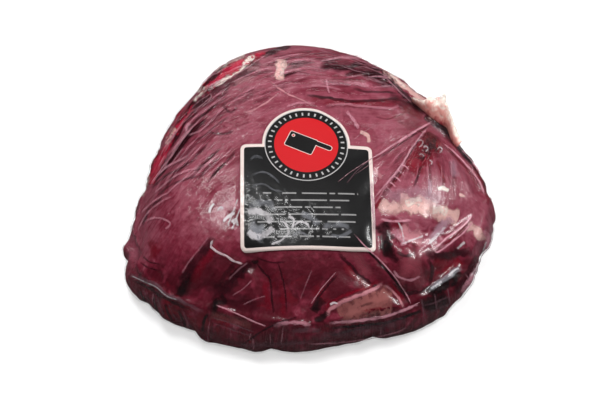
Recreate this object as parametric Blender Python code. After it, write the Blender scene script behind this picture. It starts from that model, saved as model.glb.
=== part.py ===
"""Vacuum-packed heart of rump of beef: one whole trimmed muscle in tight clear shrink film, and its printed label.

Metres, +Z up. The origin is on the table under the middle of the pack, -Y is its front and +X its right.
The pack is a closed box grid wrapped on a plan outline and two upright sections, then shaped by named lobes,
creases and pleats. The label is a thin sheet that follows the crown.
"""

import math
from typing import NamedTuple

import bmesh
import bpy
import numpy as np
from mathutils import Vector
from mathutils.bvhtree import BVHTree

# Driving dimensions of the pack
PACK_LENGTH = 0.236
PACK_DEPTH = 0.222
PACK_HEIGHT = 0.072

# Plan outline at the widest place: the radius every 22.5 degrees, anticlockwise from +X, as shares of the length
OUTLINE_RADII = (
    0.496, 0.440, 0.453, 0.458, 0.477, 0.473, 0.432, 0.418,
    0.416, 0.508, 0.516, 0.461, 0.460, 0.458, 0.508, 0.510,
)

# Upright sections from the crown's middle to the shoulder fold, as (share of the radius, share of the height)
FRONT_CROWN = ((0.0, 0.965), (0.30, 0.935), (0.60, 0.845), (0.82, 0.66), (0.955, 0.47))
BACK_CROWN = ((0.0, 0.965), (0.38, 0.995), (0.68, 0.93), (0.86, 0.77), (0.955, 0.56))
# The wall from the shoulder fold down to the table
WALL = ((0.955, 0.50), (1.0, 0.34), (0.995, 0.15), (0.95, 0.0))

# Grid of the box that is wrapped into the pack
CROWN_CELLS = 48
WALL_ROWS = 8
UNDERSIDE_RINGS = 3

# Relief on the crown fades out below this share of the height, and the wall's pleats fade in
CROWN_FOOT = 0.34
CROWN_FULL = 0.52


class Crease(NamedTuple):
    """A line where the film cuts into the meat, through plan points; a negative depth makes a raised fold."""

    name: str
    width: float
    depth: float
    route: tuple


class Lobe(NamedTuple):
    """A rounded swelling of the muscle, or a hollow if its rise is negative, by its middle and its reach."""

    name: str
    rise: float
    reach: tuple
    middle: tuple


LOBES = (
    Lobe("right_lobe", 0.0045, (0.030, 0.034), (0.077, -0.018)),
    Lobe("round_lobe", 0.0050, (0.013, 0.013), (0.061, -0.071)),
    Lobe("triangle_lobe", 0.0022, (0.021, 0.009), (0.040, -0.090)),
    Lobe("front_slope", -0.0030, (0.026, 0.010), (-0.002, -0.092)),
    Lobe("left_front_lobe", 0.0025, (0.020, 0.016), (-0.070, -0.066)),
    Lobe("left_lobe", 0.0022, (0.018, 0.030), (-0.086, -0.030)),
    Lobe("back_left_lobe", 0.0018, (0.030, 0.022), (-0.042, 0.066)),
    Lobe("back_right_lobe", 0.0022, (0.026, 0.018), (0.022, 0.068)),
    Lobe("left_plateau", 0.0030, (0.050, 0.055), (-0.046, -0.010)),
    Lobe("hollow_by_label", -0.0026, (0.022, 0.040), (0.046, -0.006)),
)

CREASES = (
    Crease("corner_fold", 0.0040, 0.0042, ((0.027, -0.070), (0.035, -0.074), (0.045, -0.080), (0.056, -0.086),
                                           (0.070, -0.089))),
    Crease("second_fold", 0.0036, 0.0022, ((0.016, -0.073), (0.028, -0.079), (0.040, -0.084), (0.052, -0.093))),
    Crease("blood_pocket", 0.0048, 0.0055, ((0.045, -0.050), (0.047, -0.060), (0.049, -0.069), (0.052, -0.076))),
    Crease("lobe_fold", 0.0046, 0.0034, ((0.044, -0.050), (0.055, -0.055), (0.068, -0.058), (0.082, -0.051),
                                         (0.094, -0.040), (0.104, -0.026))),
    Crease("corner_pocket", 0.0062, 0.0058, ((0.070, -0.084), (0.080, -0.078), (0.090, -0.069), (0.102, -0.056))),
    Crease("long_gather", 0.0042, 0.0026, ((0.078, 0.034), (0.062, 0.010), (0.050, -0.014), (0.040, -0.036),
                                           (0.036, -0.046))),
    Crease("upper_gather", 0.0036, 0.0018, ((0.078, 0.034), (0.058, 0.012), (0.038, -0.004), (0.020, -0.012))),
    Crease("short_gather", 0.0034, 0.0018, ((0.081, 0.030), (0.073, 0.004), (0.064, -0.016), (0.060, -0.028))),
    Crease("far_gather", 0.0040, 0.0020, ((0.083, 0.028), (0.086, 0.002), (0.091, -0.012))),
    Crease("edge_gather", 0.0040, 0.0028, ((0.084, 0.034), (0.096, 0.012), (0.106, -0.008), (0.112, -0.024))),
    Crease("upper_right_fold", 0.0048, 0.0034, ((0.046, 0.078), (0.060, 0.064), (0.070, 0.050), (0.080, 0.036))),
    Crease("cross_fold", 0.0042, 0.0024, ((0.006, 0.030), (0.026, 0.026), (0.048, 0.024), (0.066, 0.026),
                                          (0.080, 0.032))),
    Crease("back_fold", 0.0036, 0.0020, ((0.006, 0.056), (0.024, 0.060), (0.042, 0.058), (0.060, 0.050))),
    Crease("left_rim_fold", 0.0040, 0.0022, ((-0.012, 0.100), (-0.036, 0.088), (-0.066, 0.062), (-0.084, 0.038),
                                             (-0.095, 0.012))),
    Crease("left_rim_edge", 0.0030, -0.0016, ((-0.010, 0.093), (-0.034, 0.081), (-0.061, 0.056), (-0.079, 0.032),
                                              (-0.090, 0.006))),
    Crease("front_left_fold", 0.0040, 0.0036, ((-0.046, -0.072), (-0.056, -0.080), (-0.067, -0.087),
                                               (-0.078, -0.091))),
    Crease("front_left_fold_2", 0.0036, 0.0030, ((-0.033, -0.075), (-0.044, -0.082), (-0.055, -0.088),
                                                 (-0.064, -0.093))),
    Crease("front_fold", 0.0040, 0.0024, ((-0.038, -0.068), (-0.027, -0.074), (-0.019, -0.085), (-0.016, -0.098))),
    Crease("front_fold_2", 0.0036, 0.0026, ((0.018, -0.080), (0.006, -0.090), (-0.004, -0.099))),
    Crease("side_fold_1", 0.0034, 0.0018, ((-0.100, -0.046), (-0.080, -0.038), (-0.060, -0.029), (-0.045, -0.021))),
    Crease("side_fold_2", 0.0030, 0.0014, ((-0.098, -0.034), (-0.078, -0.018), (-0.054, -0.010))),
    Crease("side_fold_3", 0.0030, 0.0014, ((-0.094, -0.022), (-0.078, 0.000), (-0.058, 0.012))),
)

# The shoulder fold is a low raised edge of film where the crown turns into the wall, and fades round the back
SHOULDER_WIDTH = 0.0032
SHOULDER_RISE = 0.0012
BACK_SHOULDER_SHARE = 0.20

# Pleats hang down the wall from the shoulder fold, deepest at the front: (number round the pack, depth, phase)
PLEATS = ((19, 0.0010, 0.4), (31, 0.0008, 2.1), (46, 0.0004, 4.0))
PLEAT_WANDER = 0.10
BACK_PLEAT_SHARE = 0.45

# The ear is a gather of film over a tag of fat, on the back right edge
EAR_ANGLE = math.radians(28.0)
EAR_SPREAD = math.radians(8.0)
EAR_LEVEL = 0.66
EAR_THICKNESS = 0.15
EAR_REACH = 0.0115
EAR_LIFT = 0.35

# The label: a rounded rectangle with a round medallion centred on the middle of its far edge
LABEL_WIDTH = 0.082
LABEL_LENGTH = 0.070
LABEL_CORNER = 0.0035
MEDALLION_RADIUS = 0.0275
LABEL_FAR_EDGE = (-0.0006, 0.0016)
LABEL_TURN = math.radians(1.0)
LABEL_CELL = 0.0050
LABEL_THICKNESS = 0.0004
LABEL_CLEARANCE = 0.0006

# Finishes: linear red, green and blue, and the roughness
MEAT_UNDER_FILM = ((0.170, 0.030, 0.052), 0.28)
LABEL_PRINT = ((0.014, 0.014, 0.014), 0.35)


def smooth_curve(points, place):
    """Point of a Catmull-Rom curve through the points, at a place from 0 to 1 along them."""
    points = np.asarray(points, float)
    last = len(points) - 1
    at = np.clip(np.asarray(place, float), 0.0, 1.0) * last
    index = np.minimum(at.astype(int), last - 1)
    share = (at - index)[:, None]
    before = np.where(index > 0, index - 1, 0)
    after = np.where(index + 2 <= last, index + 2, last)
    p0, p1, p2, p3 = points[before], points[index], points[index + 1], points[after]
    return 0.5 * (
        2 * p1
        + (p2 - p0) * share
        + (2 * p0 - 5 * p1 + 4 * p2 - p3) * share**2
        + (3 * p1 - p0 - 3 * p2 + p3) * share**3
    )


def smooth_step(low, high, value):
    """0 below low, 1 above high, and a smooth rise between them."""
    share = np.clip((value - low) / (high - low), 0.0, 1.0)
    return share * share * (3 - 2 * share)


def outline_radius(angle):
    """Radius of the plan outline at an angle in radians, on a closed smooth curve."""
    radii = np.asarray(OUTLINE_RADII) * PACK_LENGTH
    count = len(radii)
    at = np.mod(np.asarray(angle, float) / (2 * math.pi), 1.0) * count
    index = np.floor(at).astype(int)
    share = at - index
    p0, p1, p2, p3 = (radii[np.mod(index + step, count)] for step in (-1, 0, 1, 2))
    return 0.5 * (
        2 * p1
        + (p2 - p0) * share
        + (2 * p0 - 5 * p1 + 4 * p2 - p3) * share**2
        + (3 * p1 - p0 - 3 * p2 + p3) * share**3
    )


def ring_and_angle(u, v):
    """Place of a square grid's point on a disc: its share of the radius, and its angle."""
    ring = np.maximum(np.abs(u), np.abs(v))
    sideways = np.abs(u) >= np.abs(v)
    safe_u = np.where(np.abs(u) < 1e-9, 1e-9, u)
    safe_v = np.where(np.abs(v) < 1e-9, 1e-9, v)
    along_x = np.where(u >= 0, 0.0, math.pi) + math.pi / 4 * v / safe_u
    along_y = np.where(v >= 0, 0.5, 1.5) * math.pi - math.pi / 4 * u / safe_v
    return ring, np.where(sideways, along_x, along_y)


def wrap(cube_points):
    """Wraps points of the cube from -1 to 1 on the pack's outline and sections."""
    u, v, w = cube_points.T
    ring, angle = ring_and_angle(u, v)
    front = front_share(angle)
    crown = (
        smooth_curve(FRONT_CROWN, ring) * front[:, None]
        + smooth_curve(BACK_CROWN, ring) * (1 - front)[:, None]
    )
    wall = smooth_curve(WALL, (1 - w) / 2)
    # The wall starts where the crown ends at this angle
    lift = (front * FRONT_CROWN[-1][1] + (1 - front) * BACK_CROWN[-1][1]) / WALL[0][1]
    on_top = w > 1 - 1e-6
    share = np.where(on_top, crown[:, 0], wall[:, 0])
    height = np.where(on_top, crown[:, 1], wall[:, 1] * lift)
    distance = outline_radius(angle) * share
    return np.stack([distance * np.cos(angle), distance * np.sin(angle), height * PACK_HEIGHT], axis=1)


def from_route(plan, route):
    """Distance of each plan point from a route, and how far along the route, from 0 to 1, its nearest place is."""
    route = np.asarray(route, float)
    legs = route[1:] - route[:-1]
    lengths = np.hypot(legs[:, 0], legs[:, 1])
    starts = np.concatenate([[0.0], np.cumsum(lengths)])
    nearest = np.full(len(plan), np.inf)
    place = np.zeros(len(plan))
    for start, leg, length, before in zip(route, legs, lengths, starts):
        share = np.clip(((plan - start) @ leg) / length**2, 0.0, 1.0)
        away = np.hypot(*(plan - start - share[:, None] * leg).T)
        closer = away < nearest
        nearest = np.where(closer, away, nearest)
        place = np.where(closer, (before + share * length) / starts[-1], place)
    return nearest, place


def crown_relief(plan):
    """Height of the lobes and creases above the smooth crown, at plan points."""
    relief = np.zeros(len(plan))
    for lobe in LOBES:
        away = np.hypot(*((plan - lobe.middle) / lobe.reach).T)
        relief += lobe.rise * np.exp(-(away**2))
    for crease in CREASES:
        away, place = from_route(plan, crease.route)
        ends = smooth_step(0.0, 0.22, place) * smooth_step(0.0, 0.22, 1 - place)
        relief -= crease.depth * (0.25 + 0.75 * ends) * np.exp(-((away / crease.width) ** 2))
    return relief


def front_share(angle):
    """1 at the middle of the front, 0 at the middle of the back."""
    return 0.5 - 0.5 * np.sin(angle)


def wall_relief(angle, level):
    """Height of the pleats, which fade out at the table."""
    wandered = angle + PLEAT_WANDER * np.sin(5 * angle)
    pleats = sum(depth * np.sin(count * wandered + phase) for count, depth, phase in PLEATS)
    strength = BACK_PLEAT_SHARE + (1 - BACK_PLEAT_SHARE) * front_share(angle)
    return pleats * strength * smooth_step(0.02, 0.20, level) * (1 - smooth_step(CROWN_FOOT, CROWN_FULL, level))


def shoulder_relief(angle, from_fold):
    """Height of the shoulder fold's raised edge, by the distance from the fold."""
    strength = BACK_SHOULDER_SHARE + (1 - BACK_SHOULDER_SHARE) * smooth_step(0.35, 0.75, front_share(angle))
    return SHOULDER_RISE * strength * np.exp(-((from_fold / SHOULDER_WIDTH) ** 2))


def ear_reach(angle, level, ring):
    """How far the ear stands out from the back right edge."""
    from_middle = (angle - EAR_ANGLE + math.pi) % (2 * math.pi) - math.pi
    bell = np.exp(-((from_middle / EAR_SPREAD) ** 2) - ((level - EAR_LEVEL) / EAR_THICKNESS) ** 2)
    return EAR_REACH * bell * smooth_step(0.55, 0.95, ring)


def whole(bm):
    """Every vertex, edge and face of a bmesh, as the cutting operator takes them."""
    return [*bm.verts, *bm.edges, *bm.faces]


def cut_into_cells(bm, axis, places):
    """Cuts a bmesh by planes across one axis."""
    normal = Vector([float(axis == k) for k in range(3)])
    for place in places:
        bmesh.ops.bisect_plane(bm, geom=whole(bm), dist=1e-6, plane_co=normal * place, plane_no=normal)


def box_grid():
    """A closed box from -1 to 1 whose top and sides are cut into cells, and whose underside is one face."""
    bm = bmesh.new()
    bmesh.ops.create_cube(bm, size=2.0)
    for axis, cells in ((0, CROWN_CELLS), (1, CROWN_CELLS), (2, WALL_ROWS)):
        cut_into_cells(bm, axis, [2 * cut / cells - 1 for cut in range(1, cells)])
    underside = [face for face in bm.faces if face.calc_center_median().z < -1 + 1e-6]
    bmesh.ops.dissolve_faces(bm, faces=underside)
    return bm


def shape_pack(bm):
    """Moves the box grid's points on the pack's surface, and adds the relief along the surface's normals."""
    cube = np.array([vert.co for vert in bm.verts])
    smooth = wrap(cube)
    for vert, point in zip(bm.verts, smooth):
        vert.co = point
    bm.normal_update()
    normals = np.array([vert.normal for vert in bm.verts])
    ring, angle = ring_and_angle(cube[:, 0], cube[:, 1])
    level = smooth[:, 2] / PACK_HEIGHT
    on_top = cube[:, 2] > 1 - 1e-6
    from_fold = np.where(on_top, (1 - ring) * PACK_LENGTH / 2, (1 - cube[:, 2]) * PACK_HEIGHT / 4)
    relief = (
        crown_relief(smooth[:, :2]) * smooth_step(CROWN_FOOT, CROWN_FULL, level)
        + wall_relief(angle, level)
        + shoulder_relief(angle, from_fold)
    )
    relief = np.where(level < 1e-6, 0.0, relief)
    ear = ear_reach(angle, level, np.where(on_top, ring, 1.0))
    outward = np.stack([np.cos(angle), np.sin(angle), np.full(len(angle), EAR_LIFT)], axis=1)
    shaped = smooth + normals * relief[:, None] + outward * ear[:, None]
    for vert, point in zip(bm.verts, fit_to_size(shaped)):
        vert.co = point


def fit_to_size(points):
    """Brings the shaped points to the driving length, depth and height, with the middle over the origin."""
    low, high = points.min(axis=0), points.max(axis=0)
    middle = np.array([(low[0] + high[0]) / 2, (low[1] + high[1]) / 2, low[2]])
    return (points - middle) * np.array([PACK_LENGTH, PACK_DEPTH, PACK_HEIGHT]) / (high - low)


def make_pack():
    """The meat in its film, with a flat underside."""
    bm = box_grid()
    shape_pack(bm)
    underside = [face for face in bm.faces if len(face.verts) > 4]
    for ring in range(UNDERSIDE_RINGS, 0, -1):
        inner = bmesh.ops.extrude_face_region(bm, geom=underside)["geom"]
        bmesh.ops.delete(bm, geom=underside, context="FACES_ONLY")
        corners = [item for item in inner if isinstance(item, bmesh.types.BMVert)]
        share = ring / (ring + 1)
        bmesh.ops.scale(bm, verts=corners, vec=(share, share, 1.0))
        underside = [item for item in inner if isinstance(item, bmesh.types.BMFace)]
    bmesh.ops.triangulate(bm, faces=bm.faces[:])
    bmesh.ops.recalc_face_normals(bm, faces=bm.faces[:])
    return add_object("bagged_rump", bm, MEAT_UNDER_FILM)


def arc(middle, radius, start, stop, steps):
    """Plan points of an arc, from one angle in degrees to another."""
    angles = (math.radians(start + (stop - start) * step / steps) for step in range(steps + 1))
    return [(middle[0] + radius * math.cos(angle), middle[1] + radius * math.sin(angle)) for angle in angles]


def label_outline():
    """Outline of the label in its own frame: +Y to the far edge, the origin in the medallion's middle."""
    side = LABEL_WIDTH / 2 - LABEL_CORNER
    near = -LABEL_LENGTH + LABEL_CORNER
    return [
        *arc((side, near), LABEL_CORNER, -90, 0, 4),
        *arc((side, -LABEL_CORNER), LABEL_CORNER, 0, 90, 4),
        *arc((0, 0), MEDALLION_RADIUS, 0, 180, 24),
        *arc((-side, -LABEL_CORNER), LABEL_CORNER, 90, 180, 4),
        *arc((-side, near), LABEL_CORNER, 180, 270, 4),
    ]


def make_label(pack):
    """The label as a thin sheet laid on the pack, cut into cells so that it bends with the crown."""
    bm = bmesh.new()
    bm.faces.new([bm.verts.new((x, y, 0.0)) for x, y in label_outline()])
    across = int(LABEL_WIDTH / 2 / LABEL_CELL)
    along = int(LABEL_LENGTH / LABEL_CELL)
    cut_into_cells(bm, 1, [cut * LABEL_CELL for cut in range(-along, along + 1)])
    cut_into_cells(bm, 0, [cut * LABEL_CELL for cut in range(-across, across + 1)])
    bmesh.ops.triangulate(bm, faces=bm.faces[:])
    lay_on(bm, pack)
    upper = bmesh.ops.extrude_face_region(bm, geom=bm.faces[:])["geom"]
    raised = [item for item in upper if isinstance(item, bmesh.types.BMVert)]
    bmesh.ops.translate(bm, verts=raised, vec=(0.0, 0.0, LABEL_THICKNESS))
    bmesh.ops.triangulate(bm, faces=bm.faces[:])
    bmesh.ops.recalc_face_normals(bm, faces=bm.faces[:])
    return add_object("label", bm, LABEL_PRINT)


def lay_on(bm, pack):
    """Turns and moves the flat label to its place, and drops each point to just above the pack."""
    corners = [vert.co.copy() for vert in pack.data.vertices]
    tree = BVHTree.FromPolygons(corners, [tuple(face.vertices) for face in pack.data.polygons])
    cosine, sine = math.cos(LABEL_TURN), math.sin(LABEL_TURN)
    for vert in bm.verts:
        x = LABEL_FAR_EDGE[0] + vert.co.x * cosine - vert.co.y * sine
        y = LABEL_FAR_EDGE[1] + vert.co.x * sine + vert.co.y * cosine
        place = tree.ray_cast(Vector((x, y, 2 * PACK_HEIGHT)), Vector((0.0, 0.0, -1.0)))[0]
        vert.co = (x, y, place.z + LABEL_CLEARANCE)


def add_object(name, bm, finish):
    """Turns a bmesh into an object of the scene, with its own material."""
    colour, roughness = finish
    mesh = bpy.data.meshes.new(name)
    bm.to_mesh(mesh)
    bm.free()
    material = bpy.data.materials.new(name + "_finish")
    material.use_nodes = True
    shader = material.node_tree.nodes["Principled BSDF"]
    shader.inputs["Base Color"].default_value = (*colour, 1.0)
    shader.inputs["Roughness"].default_value = roughness
    shader.inputs["Metallic"].default_value = 0.0
    mesh.materials.append(material)
    mesh.shade_smooth()
    obj = bpy.data.objects.new(name, mesh)
    bpy.context.scene.collection.objects.link(obj)
    return obj


def main():
    for obj in list(bpy.data.objects):
        bpy.data.objects.remove(obj)
    pack = make_pack()
    make_label(pack)


if __name__ == "__main__":
    main()
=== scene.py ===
"""Looks of a vacuum-packed heart of rump of beef: the meat, its label and the clear shrink film drawn over them.

Metres, +Z up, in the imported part's frame: -Y is the pack's front and +X its right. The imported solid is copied,
smoothed and split into meat and film, and every fold, stain and line of tension is laid on that surface. Their
routes are named places in the photograph's 600 x 400 frame, cast through its camera onto the pack.
"""

import logging
import math
import random
from dataclasses import dataclass
from enum import Enum
from typing import Callable

import bmesh
import bpy
import numpy as np
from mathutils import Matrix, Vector, noise
from mathutils.bvhtree import BVHTree


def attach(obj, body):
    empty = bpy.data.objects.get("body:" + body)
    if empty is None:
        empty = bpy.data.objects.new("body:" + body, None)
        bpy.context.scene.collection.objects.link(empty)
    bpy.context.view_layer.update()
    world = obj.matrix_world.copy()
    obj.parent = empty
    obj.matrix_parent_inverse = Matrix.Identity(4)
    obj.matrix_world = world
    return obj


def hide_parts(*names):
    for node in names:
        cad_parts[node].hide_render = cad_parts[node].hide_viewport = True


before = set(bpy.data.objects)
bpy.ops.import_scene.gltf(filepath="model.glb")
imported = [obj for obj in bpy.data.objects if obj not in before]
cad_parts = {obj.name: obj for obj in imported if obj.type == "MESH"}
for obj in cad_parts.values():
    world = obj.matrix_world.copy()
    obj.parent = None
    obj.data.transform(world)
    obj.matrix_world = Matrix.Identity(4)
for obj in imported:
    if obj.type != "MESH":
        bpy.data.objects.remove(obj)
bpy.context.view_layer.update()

LOG = logging.getLogger("pack")
BODY = "root"
MERGE = 1e-5


class Slot(Enum):
    """The record's material slots."""

    MEAT = "meat_in_film"
    PRINT = "label_print"


class Zone(Enum):
    """Parts of the pack with wrinkles of their own, each a point attribute of meat and film."""

    FAN = "fan"
    TOP = "top"
    RAYS = "rays"
    WALL = "wall"
    CRUMPLE = "crumple"


def linear(red: float, green: float, blue: float) -> tuple[float, float, float]:
    """Linear colour of an 8-bit screen colour.

    Args:
        red: Red from 0 to 255.
        green: Green from 0 to 255.
        blue: Blue from 0 to 255.

    Returns:
        The three linear channels.
    """
    shares = (channel / 255.0 for channel in (red, green, blue))
    return tuple(s / 12.92 if s <= 0.04045 else ((s + 0.055) / 1.055) ** 2.4 for s in shares)


def smooth_step(low: float, high: float, value: np.ndarray) -> np.ndarray:
    """Smooth rise from 0 at low to 1 at high.

    Args:
        low: Value where the rise starts.
        high: Value where it ends.
        value: Values to map.

    Returns:
        Shares from 0 to 1.
    """
    share = np.clip((value - low) / (high - low), 0.0, 1.0)
    return share * share * (3.0 - 2.0 * share)


def smooth_curve(points: np.ndarray, count: int) -> np.ndarray:
    """Evenly shared places on a Catmull-Rom curve through points.

    Args:
        points: The points, one in a row.
        count: How many places.

    Returns:
        The places, one in a row.
    """
    points = np.asarray(points, float)
    last = len(points) - 1
    at = np.linspace(0.0, last, count)
    index = np.minimum(at.astype(int), last - 1)
    t = (at - index)[:, None]
    before, after = np.maximum(index - 1, 0), np.minimum(index + 2, last)
    p0, p1, p2, p3 = points[before], points[index], points[index + 1], points[after]
    return 0.5 * (
        2 * p1 + (p2 - p0) * t + (2 * p0 - 5 * p1 + 4 * p2 - p3) * t**2 + (3 * p1 - p0 - 3 * p2 + p3) * t**3
    )


def rough(points: np.ndarray, seed: float = 0.0) -> np.ndarray:
    """Smooth noise, about -1 to 1, at points given in its own wavelengths.

    Args:
        points: Points in wavelengths, one in a row.
        seed: Shift that picks another noise.

    Returns:
        One value for each point.
    """
    return np.array([noise.noise(Vector(p) + Vector((seed, -seed, 2 * seed))) for p in points])


def ridged(points: np.ndarray, seed: float = 0.0) -> np.ndarray:
    """Noise with sharp crests, from 0 in the valleys to 1 on the crests.

    Args:
        points: Points in wavelengths, one in a row.
        seed: Shift that picks another noise.

    Returns:
        One value for each point.
    """
    return np.clip(1.0 - 2.2 * np.abs(rough(points, seed)), 0.0, 1.0)


def wheel(points: np.ndarray, middle: np.ndarray, around: float, outward: float) -> np.ndarray:
    """Coordinates for noise that runs round a middle in plan, or out from it, with no seam.

    Args:
        points: The points, one in a row.
        middle: The middle.
        around: Waves a radian round it.
        outward: Length of one wave away from it.

    Returns:
        The points in wavelengths, one in a row.
    """
    arm = points[:, :2] - middle[:2]
    radius = np.maximum(np.hypot(*arm.T), 1e-6)[:, None]
    return np.column_stack([arm / radius * around, radius / outward])


@dataclass(frozen=True)
class PhotoView:
    """The camera. Its height and distance come from the label's perspective in the photograph."""

    elevation_deg: float = 57.0
    distance: float = 0.901
    lens_mm: float = 84.0
    sensor_mm: float = 36.0
    columns: int = 600
    rows: int = 400
    target: tuple = (-0.0045, -0.0124, 0.0285)

    def back(self) -> Vector:
        """Direction from the target to the camera."""
        tilt = math.radians(self.elevation_deg)
        return Vector((0.0, -math.cos(tilt), math.sin(tilt)))

    def eye(self) -> Vector:
        """Place of the camera."""
        return Vector(self.target) + self.back() * self.distance

    def ray(self, column: float, row: float) -> Vector:
        """Direction of sight through a place in the photograph's frame.

        Args:
            column: Pixels from the left.
            row: Pixels from the top.

        Returns:
            The unit direction away from the camera.
        """
        pixels = self.lens_mm / self.sensor_mm * self.columns
        right = Vector((1.0, 0.0, 0.0))
        up = self.back().cross(right)
        sight = right * (column - self.columns / 2) / pixels - up * (row - self.rows / 2) / pixels - self.back()
        return sight.normalized()

    def build(self) -> bpy.types.Object:
        """Adds the camera to the scene.

        Returns:
            The camera, which is the scene's own.
        """
        data = bpy.data.cameras.new("photo_camera")
        data.lens = self.lens_mm
        data.sensor_width = self.sensor_mm
        data.clip_start = 0.05
        data.clip_end = 20.0
        camera = bpy.data.objects.new("photo_camera", data)
        camera.location = self.eye()
        camera.rotation_euler = (math.radians(90.0 - self.elevation_deg), 0.0, 0.0)
        bpy.context.scene.collection.objects.link(camera)
        bpy.context.scene.camera = camera
        return camera


VIEW = PhotoView()


class Surface:
    def __init__(self, mesh: bpy.types.Mesh) -> None:
        """Reads the mesh's points and builds its search tree.

        Args:
            mesh: The mesh, which stays as it is.
        """
        self.mesh = mesh
        points = np.empty(len(mesh.vertices) * 3, np.float32)
        mesh.vertices.foreach_get("co", points)
        self.points = points.reshape(-1, 3).astype(float)
        normals = np.empty(len(mesh.vertices) * 3, np.float32)
        mesh.vertices.foreach_get("normal", normals)
        self.normals = normals.reshape(-1, 3).astype(float)
        faces = [tuple(face.vertices) for face in mesh.polygons]
        self.tree = BVHTree.FromPolygons([tuple(p) for p in self.points], faces)

    def nearest(self, place: Vector) -> tuple[Vector, Vector]:
        """The nearest place on the surface, and its outward normal."""
        found = self.tree.find_nearest(place)
        return found[0], found[1]

    def seen(self, column: float, row: float) -> Vector:
        """The place that the photograph shows at a pixel.

        Args:
            column: Pixels from the left.
            row: Pixels from the top.

        Returns:
            The place, or the nearest to the line of sight where it misses.
        """
        eye, sight = VIEW.eye(), VIEW.ray(column, row)
        hit = self.tree.ray_cast(eye, sight)[0]
        if hit is not None:
            return hit
        place = eye + sight * VIEW.distance
        for _ in range(6):
            place = self.nearest(place)[0]
            place = eye + sight * (place - eye).dot(sight)
        return self.nearest(place)[0]

    def route(self, seen: tuple, spacing: float = 0.002) -> np.ndarray:
        """A smooth route on the surface.

        Args:
            seen: The pixels that it passes, as (column, row).
            spacing: Rough distance between its places.

        Returns:
            The places, one in a row.
        """
        knots = np.array([self.seen(*pixel) for pixel in seen])
        length = np.linalg.norm(np.diff(knots, axis=0), axis=1).sum()
        loose = smooth_curve(knots, max(4, int(length / spacing)))
        return np.array([self.nearest(Vector(place))[0] for place in loose])


def smooth_copy(node: bpy.types.Object, levels: int, foot_share: float) -> bpy.types.Mesh:
    """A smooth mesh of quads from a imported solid.

    Args:
        node: The solid, as loose triangles.
        levels: How often it is subdivided.
        foot_share: Size of the ring that keeps the underside's edge tight, as a share of the underside.

    Returns:
        The new mesh.
    """
    bm = bmesh.new()
    bm.from_mesh(node.data)
    bmesh.ops.remove_doubles(bm, verts=bm.verts[:], dist=MERGE)
    flat = [face for face in bm.faces if face.calc_center_median().z < MERGE]
    underside = bmesh.ops.dissolve_faces(bm, faces=flat)["region"]
    inner = bmesh.ops.extrude_face_region(bm, geom=underside)["geom"]
    bmesh.ops.delete(bm, geom=underside, context="FACES_ONLY")
    corners = [item for item in inner if isinstance(item, bmesh.types.BMVert)]
    bmesh.ops.scale(bm, verts=corners, vec=(foot_share, foot_share, 1.0))
    triangles = [face for face in bm.faces if len(face.verts) == 3]
    bmesh.ops.join_triangles(
        bm, faces=triangles, angle_face_threshold=math.pi, angle_shape_threshold=math.pi
    )
    bmesh.ops.recalc_face_normals(bm, faces=bm.faces[:])
    rough_mesh = bpy.data.meshes.new("pack_quads")
    bm.to_mesh(rough_mesh)
    bm.free()
    holder = bpy.data.objects.new("pack_quads", rough_mesh)
    bpy.context.scene.collection.objects.link(holder)
    modifier = holder.modifiers.new("smooth", "SUBSURF")
    modifier.levels = levels
    modifier.render_levels = levels
    mesh = bpy.data.meshes.new_from_object(holder.evaluated_get(bpy.context.evaluated_depsgraph_get()))
    bpy.data.objects.remove(holder)
    return mesh


def moved_copy(surface: Surface, name: str, offset: np.ndarray) -> bpy.types.Mesh:
    """A copy of a surface's mesh with each point moved along its normal.

    Args:
        surface: The surface to copy.
        name: Name of the new mesh.
        offset: How far each point goes outwards.

    Returns:
        The new mesh, shaded smooth.
    """
    mesh = surface.mesh.copy()
    mesh.name = name
    points = surface.points + surface.normals * offset[:, None]
    points[:, 2] = np.maximum(points[:, 2], 0.0)
    mesh.vertices.foreach_set("co", points.astype(np.float32).ravel())
    mesh.shade_smooth()
    mesh.update()
    return mesh


def set_mask(mesh: bpy.types.Mesh, name: str, values: np.ndarray) -> None:
    """Stores one number for each point of a mesh, which its material reads by name."""
    mesh.attributes.new(name, "FLOAT", "POINT").data.foreach_set("value", values.astype(np.float32))


def add_piece(name: str, mesh: bpy.types.Mesh, material: bpy.types.Material) -> bpy.types.Object:
    """Adds a finished mesh to the scene as a piece that rides on the pack.

    Args:
        name: The piece's name.
        mesh: Its mesh, in place.
        material: Its finish.

    Returns:
        The new object.
    """
    mesh.materials.clear()
    mesh.materials.append(material)
    piece = bpy.data.objects.new(name, mesh)
    bpy.context.scene.collection.objects.link(piece)
    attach(piece, BODY)
    LOG.info("%s: %d faces", name, len(mesh.polygons))
    return piece


@dataclass(frozen=True)
class Mark:
    """A soft line or patch on the pack, along a route of places in the photograph's frame."""

    name: str
    reach: float
    strength: float
    seen: tuple


def distance_to(points: np.ndarray, route: np.ndarray, limit: float) -> tuple[np.ndarray, np.ndarray, np.ndarray]:
    """How far points are from a route.

    Args:
        points: The points, one in a row.
        route: The route's places, one in a row.
        limit: Distance past which a point is left out.

    Returns:
        The numbers of the points within the limit, their distances, and their places along the route from 0 to 1.
    """
    low, high = route.min(axis=0) - limit, route.max(axis=0) + limit
    near = np.nonzero(((points > low) & (points < high)).all(axis=1))[0]
    away = np.full(len(near), np.inf)
    along = np.zeros(len(near))
    legs = len(route) - 1
    for number, (start, end) in enumerate(zip(route[:-1], route[1:])):
        leg = end - start
        rel = points[near] - start
        share = np.clip(rel @ leg / max(leg @ leg, 1e-12), 0.0, 1.0)
        gap = np.linalg.norm(rel - share[:, None] * leg, axis=1)
        closer = gap < away
        away = np.where(closer, gap, away)
        along = np.where(closer, (number + share) / legs, along)
    keep = away < limit
    return near[keep], away[keep], along[keep]


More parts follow.
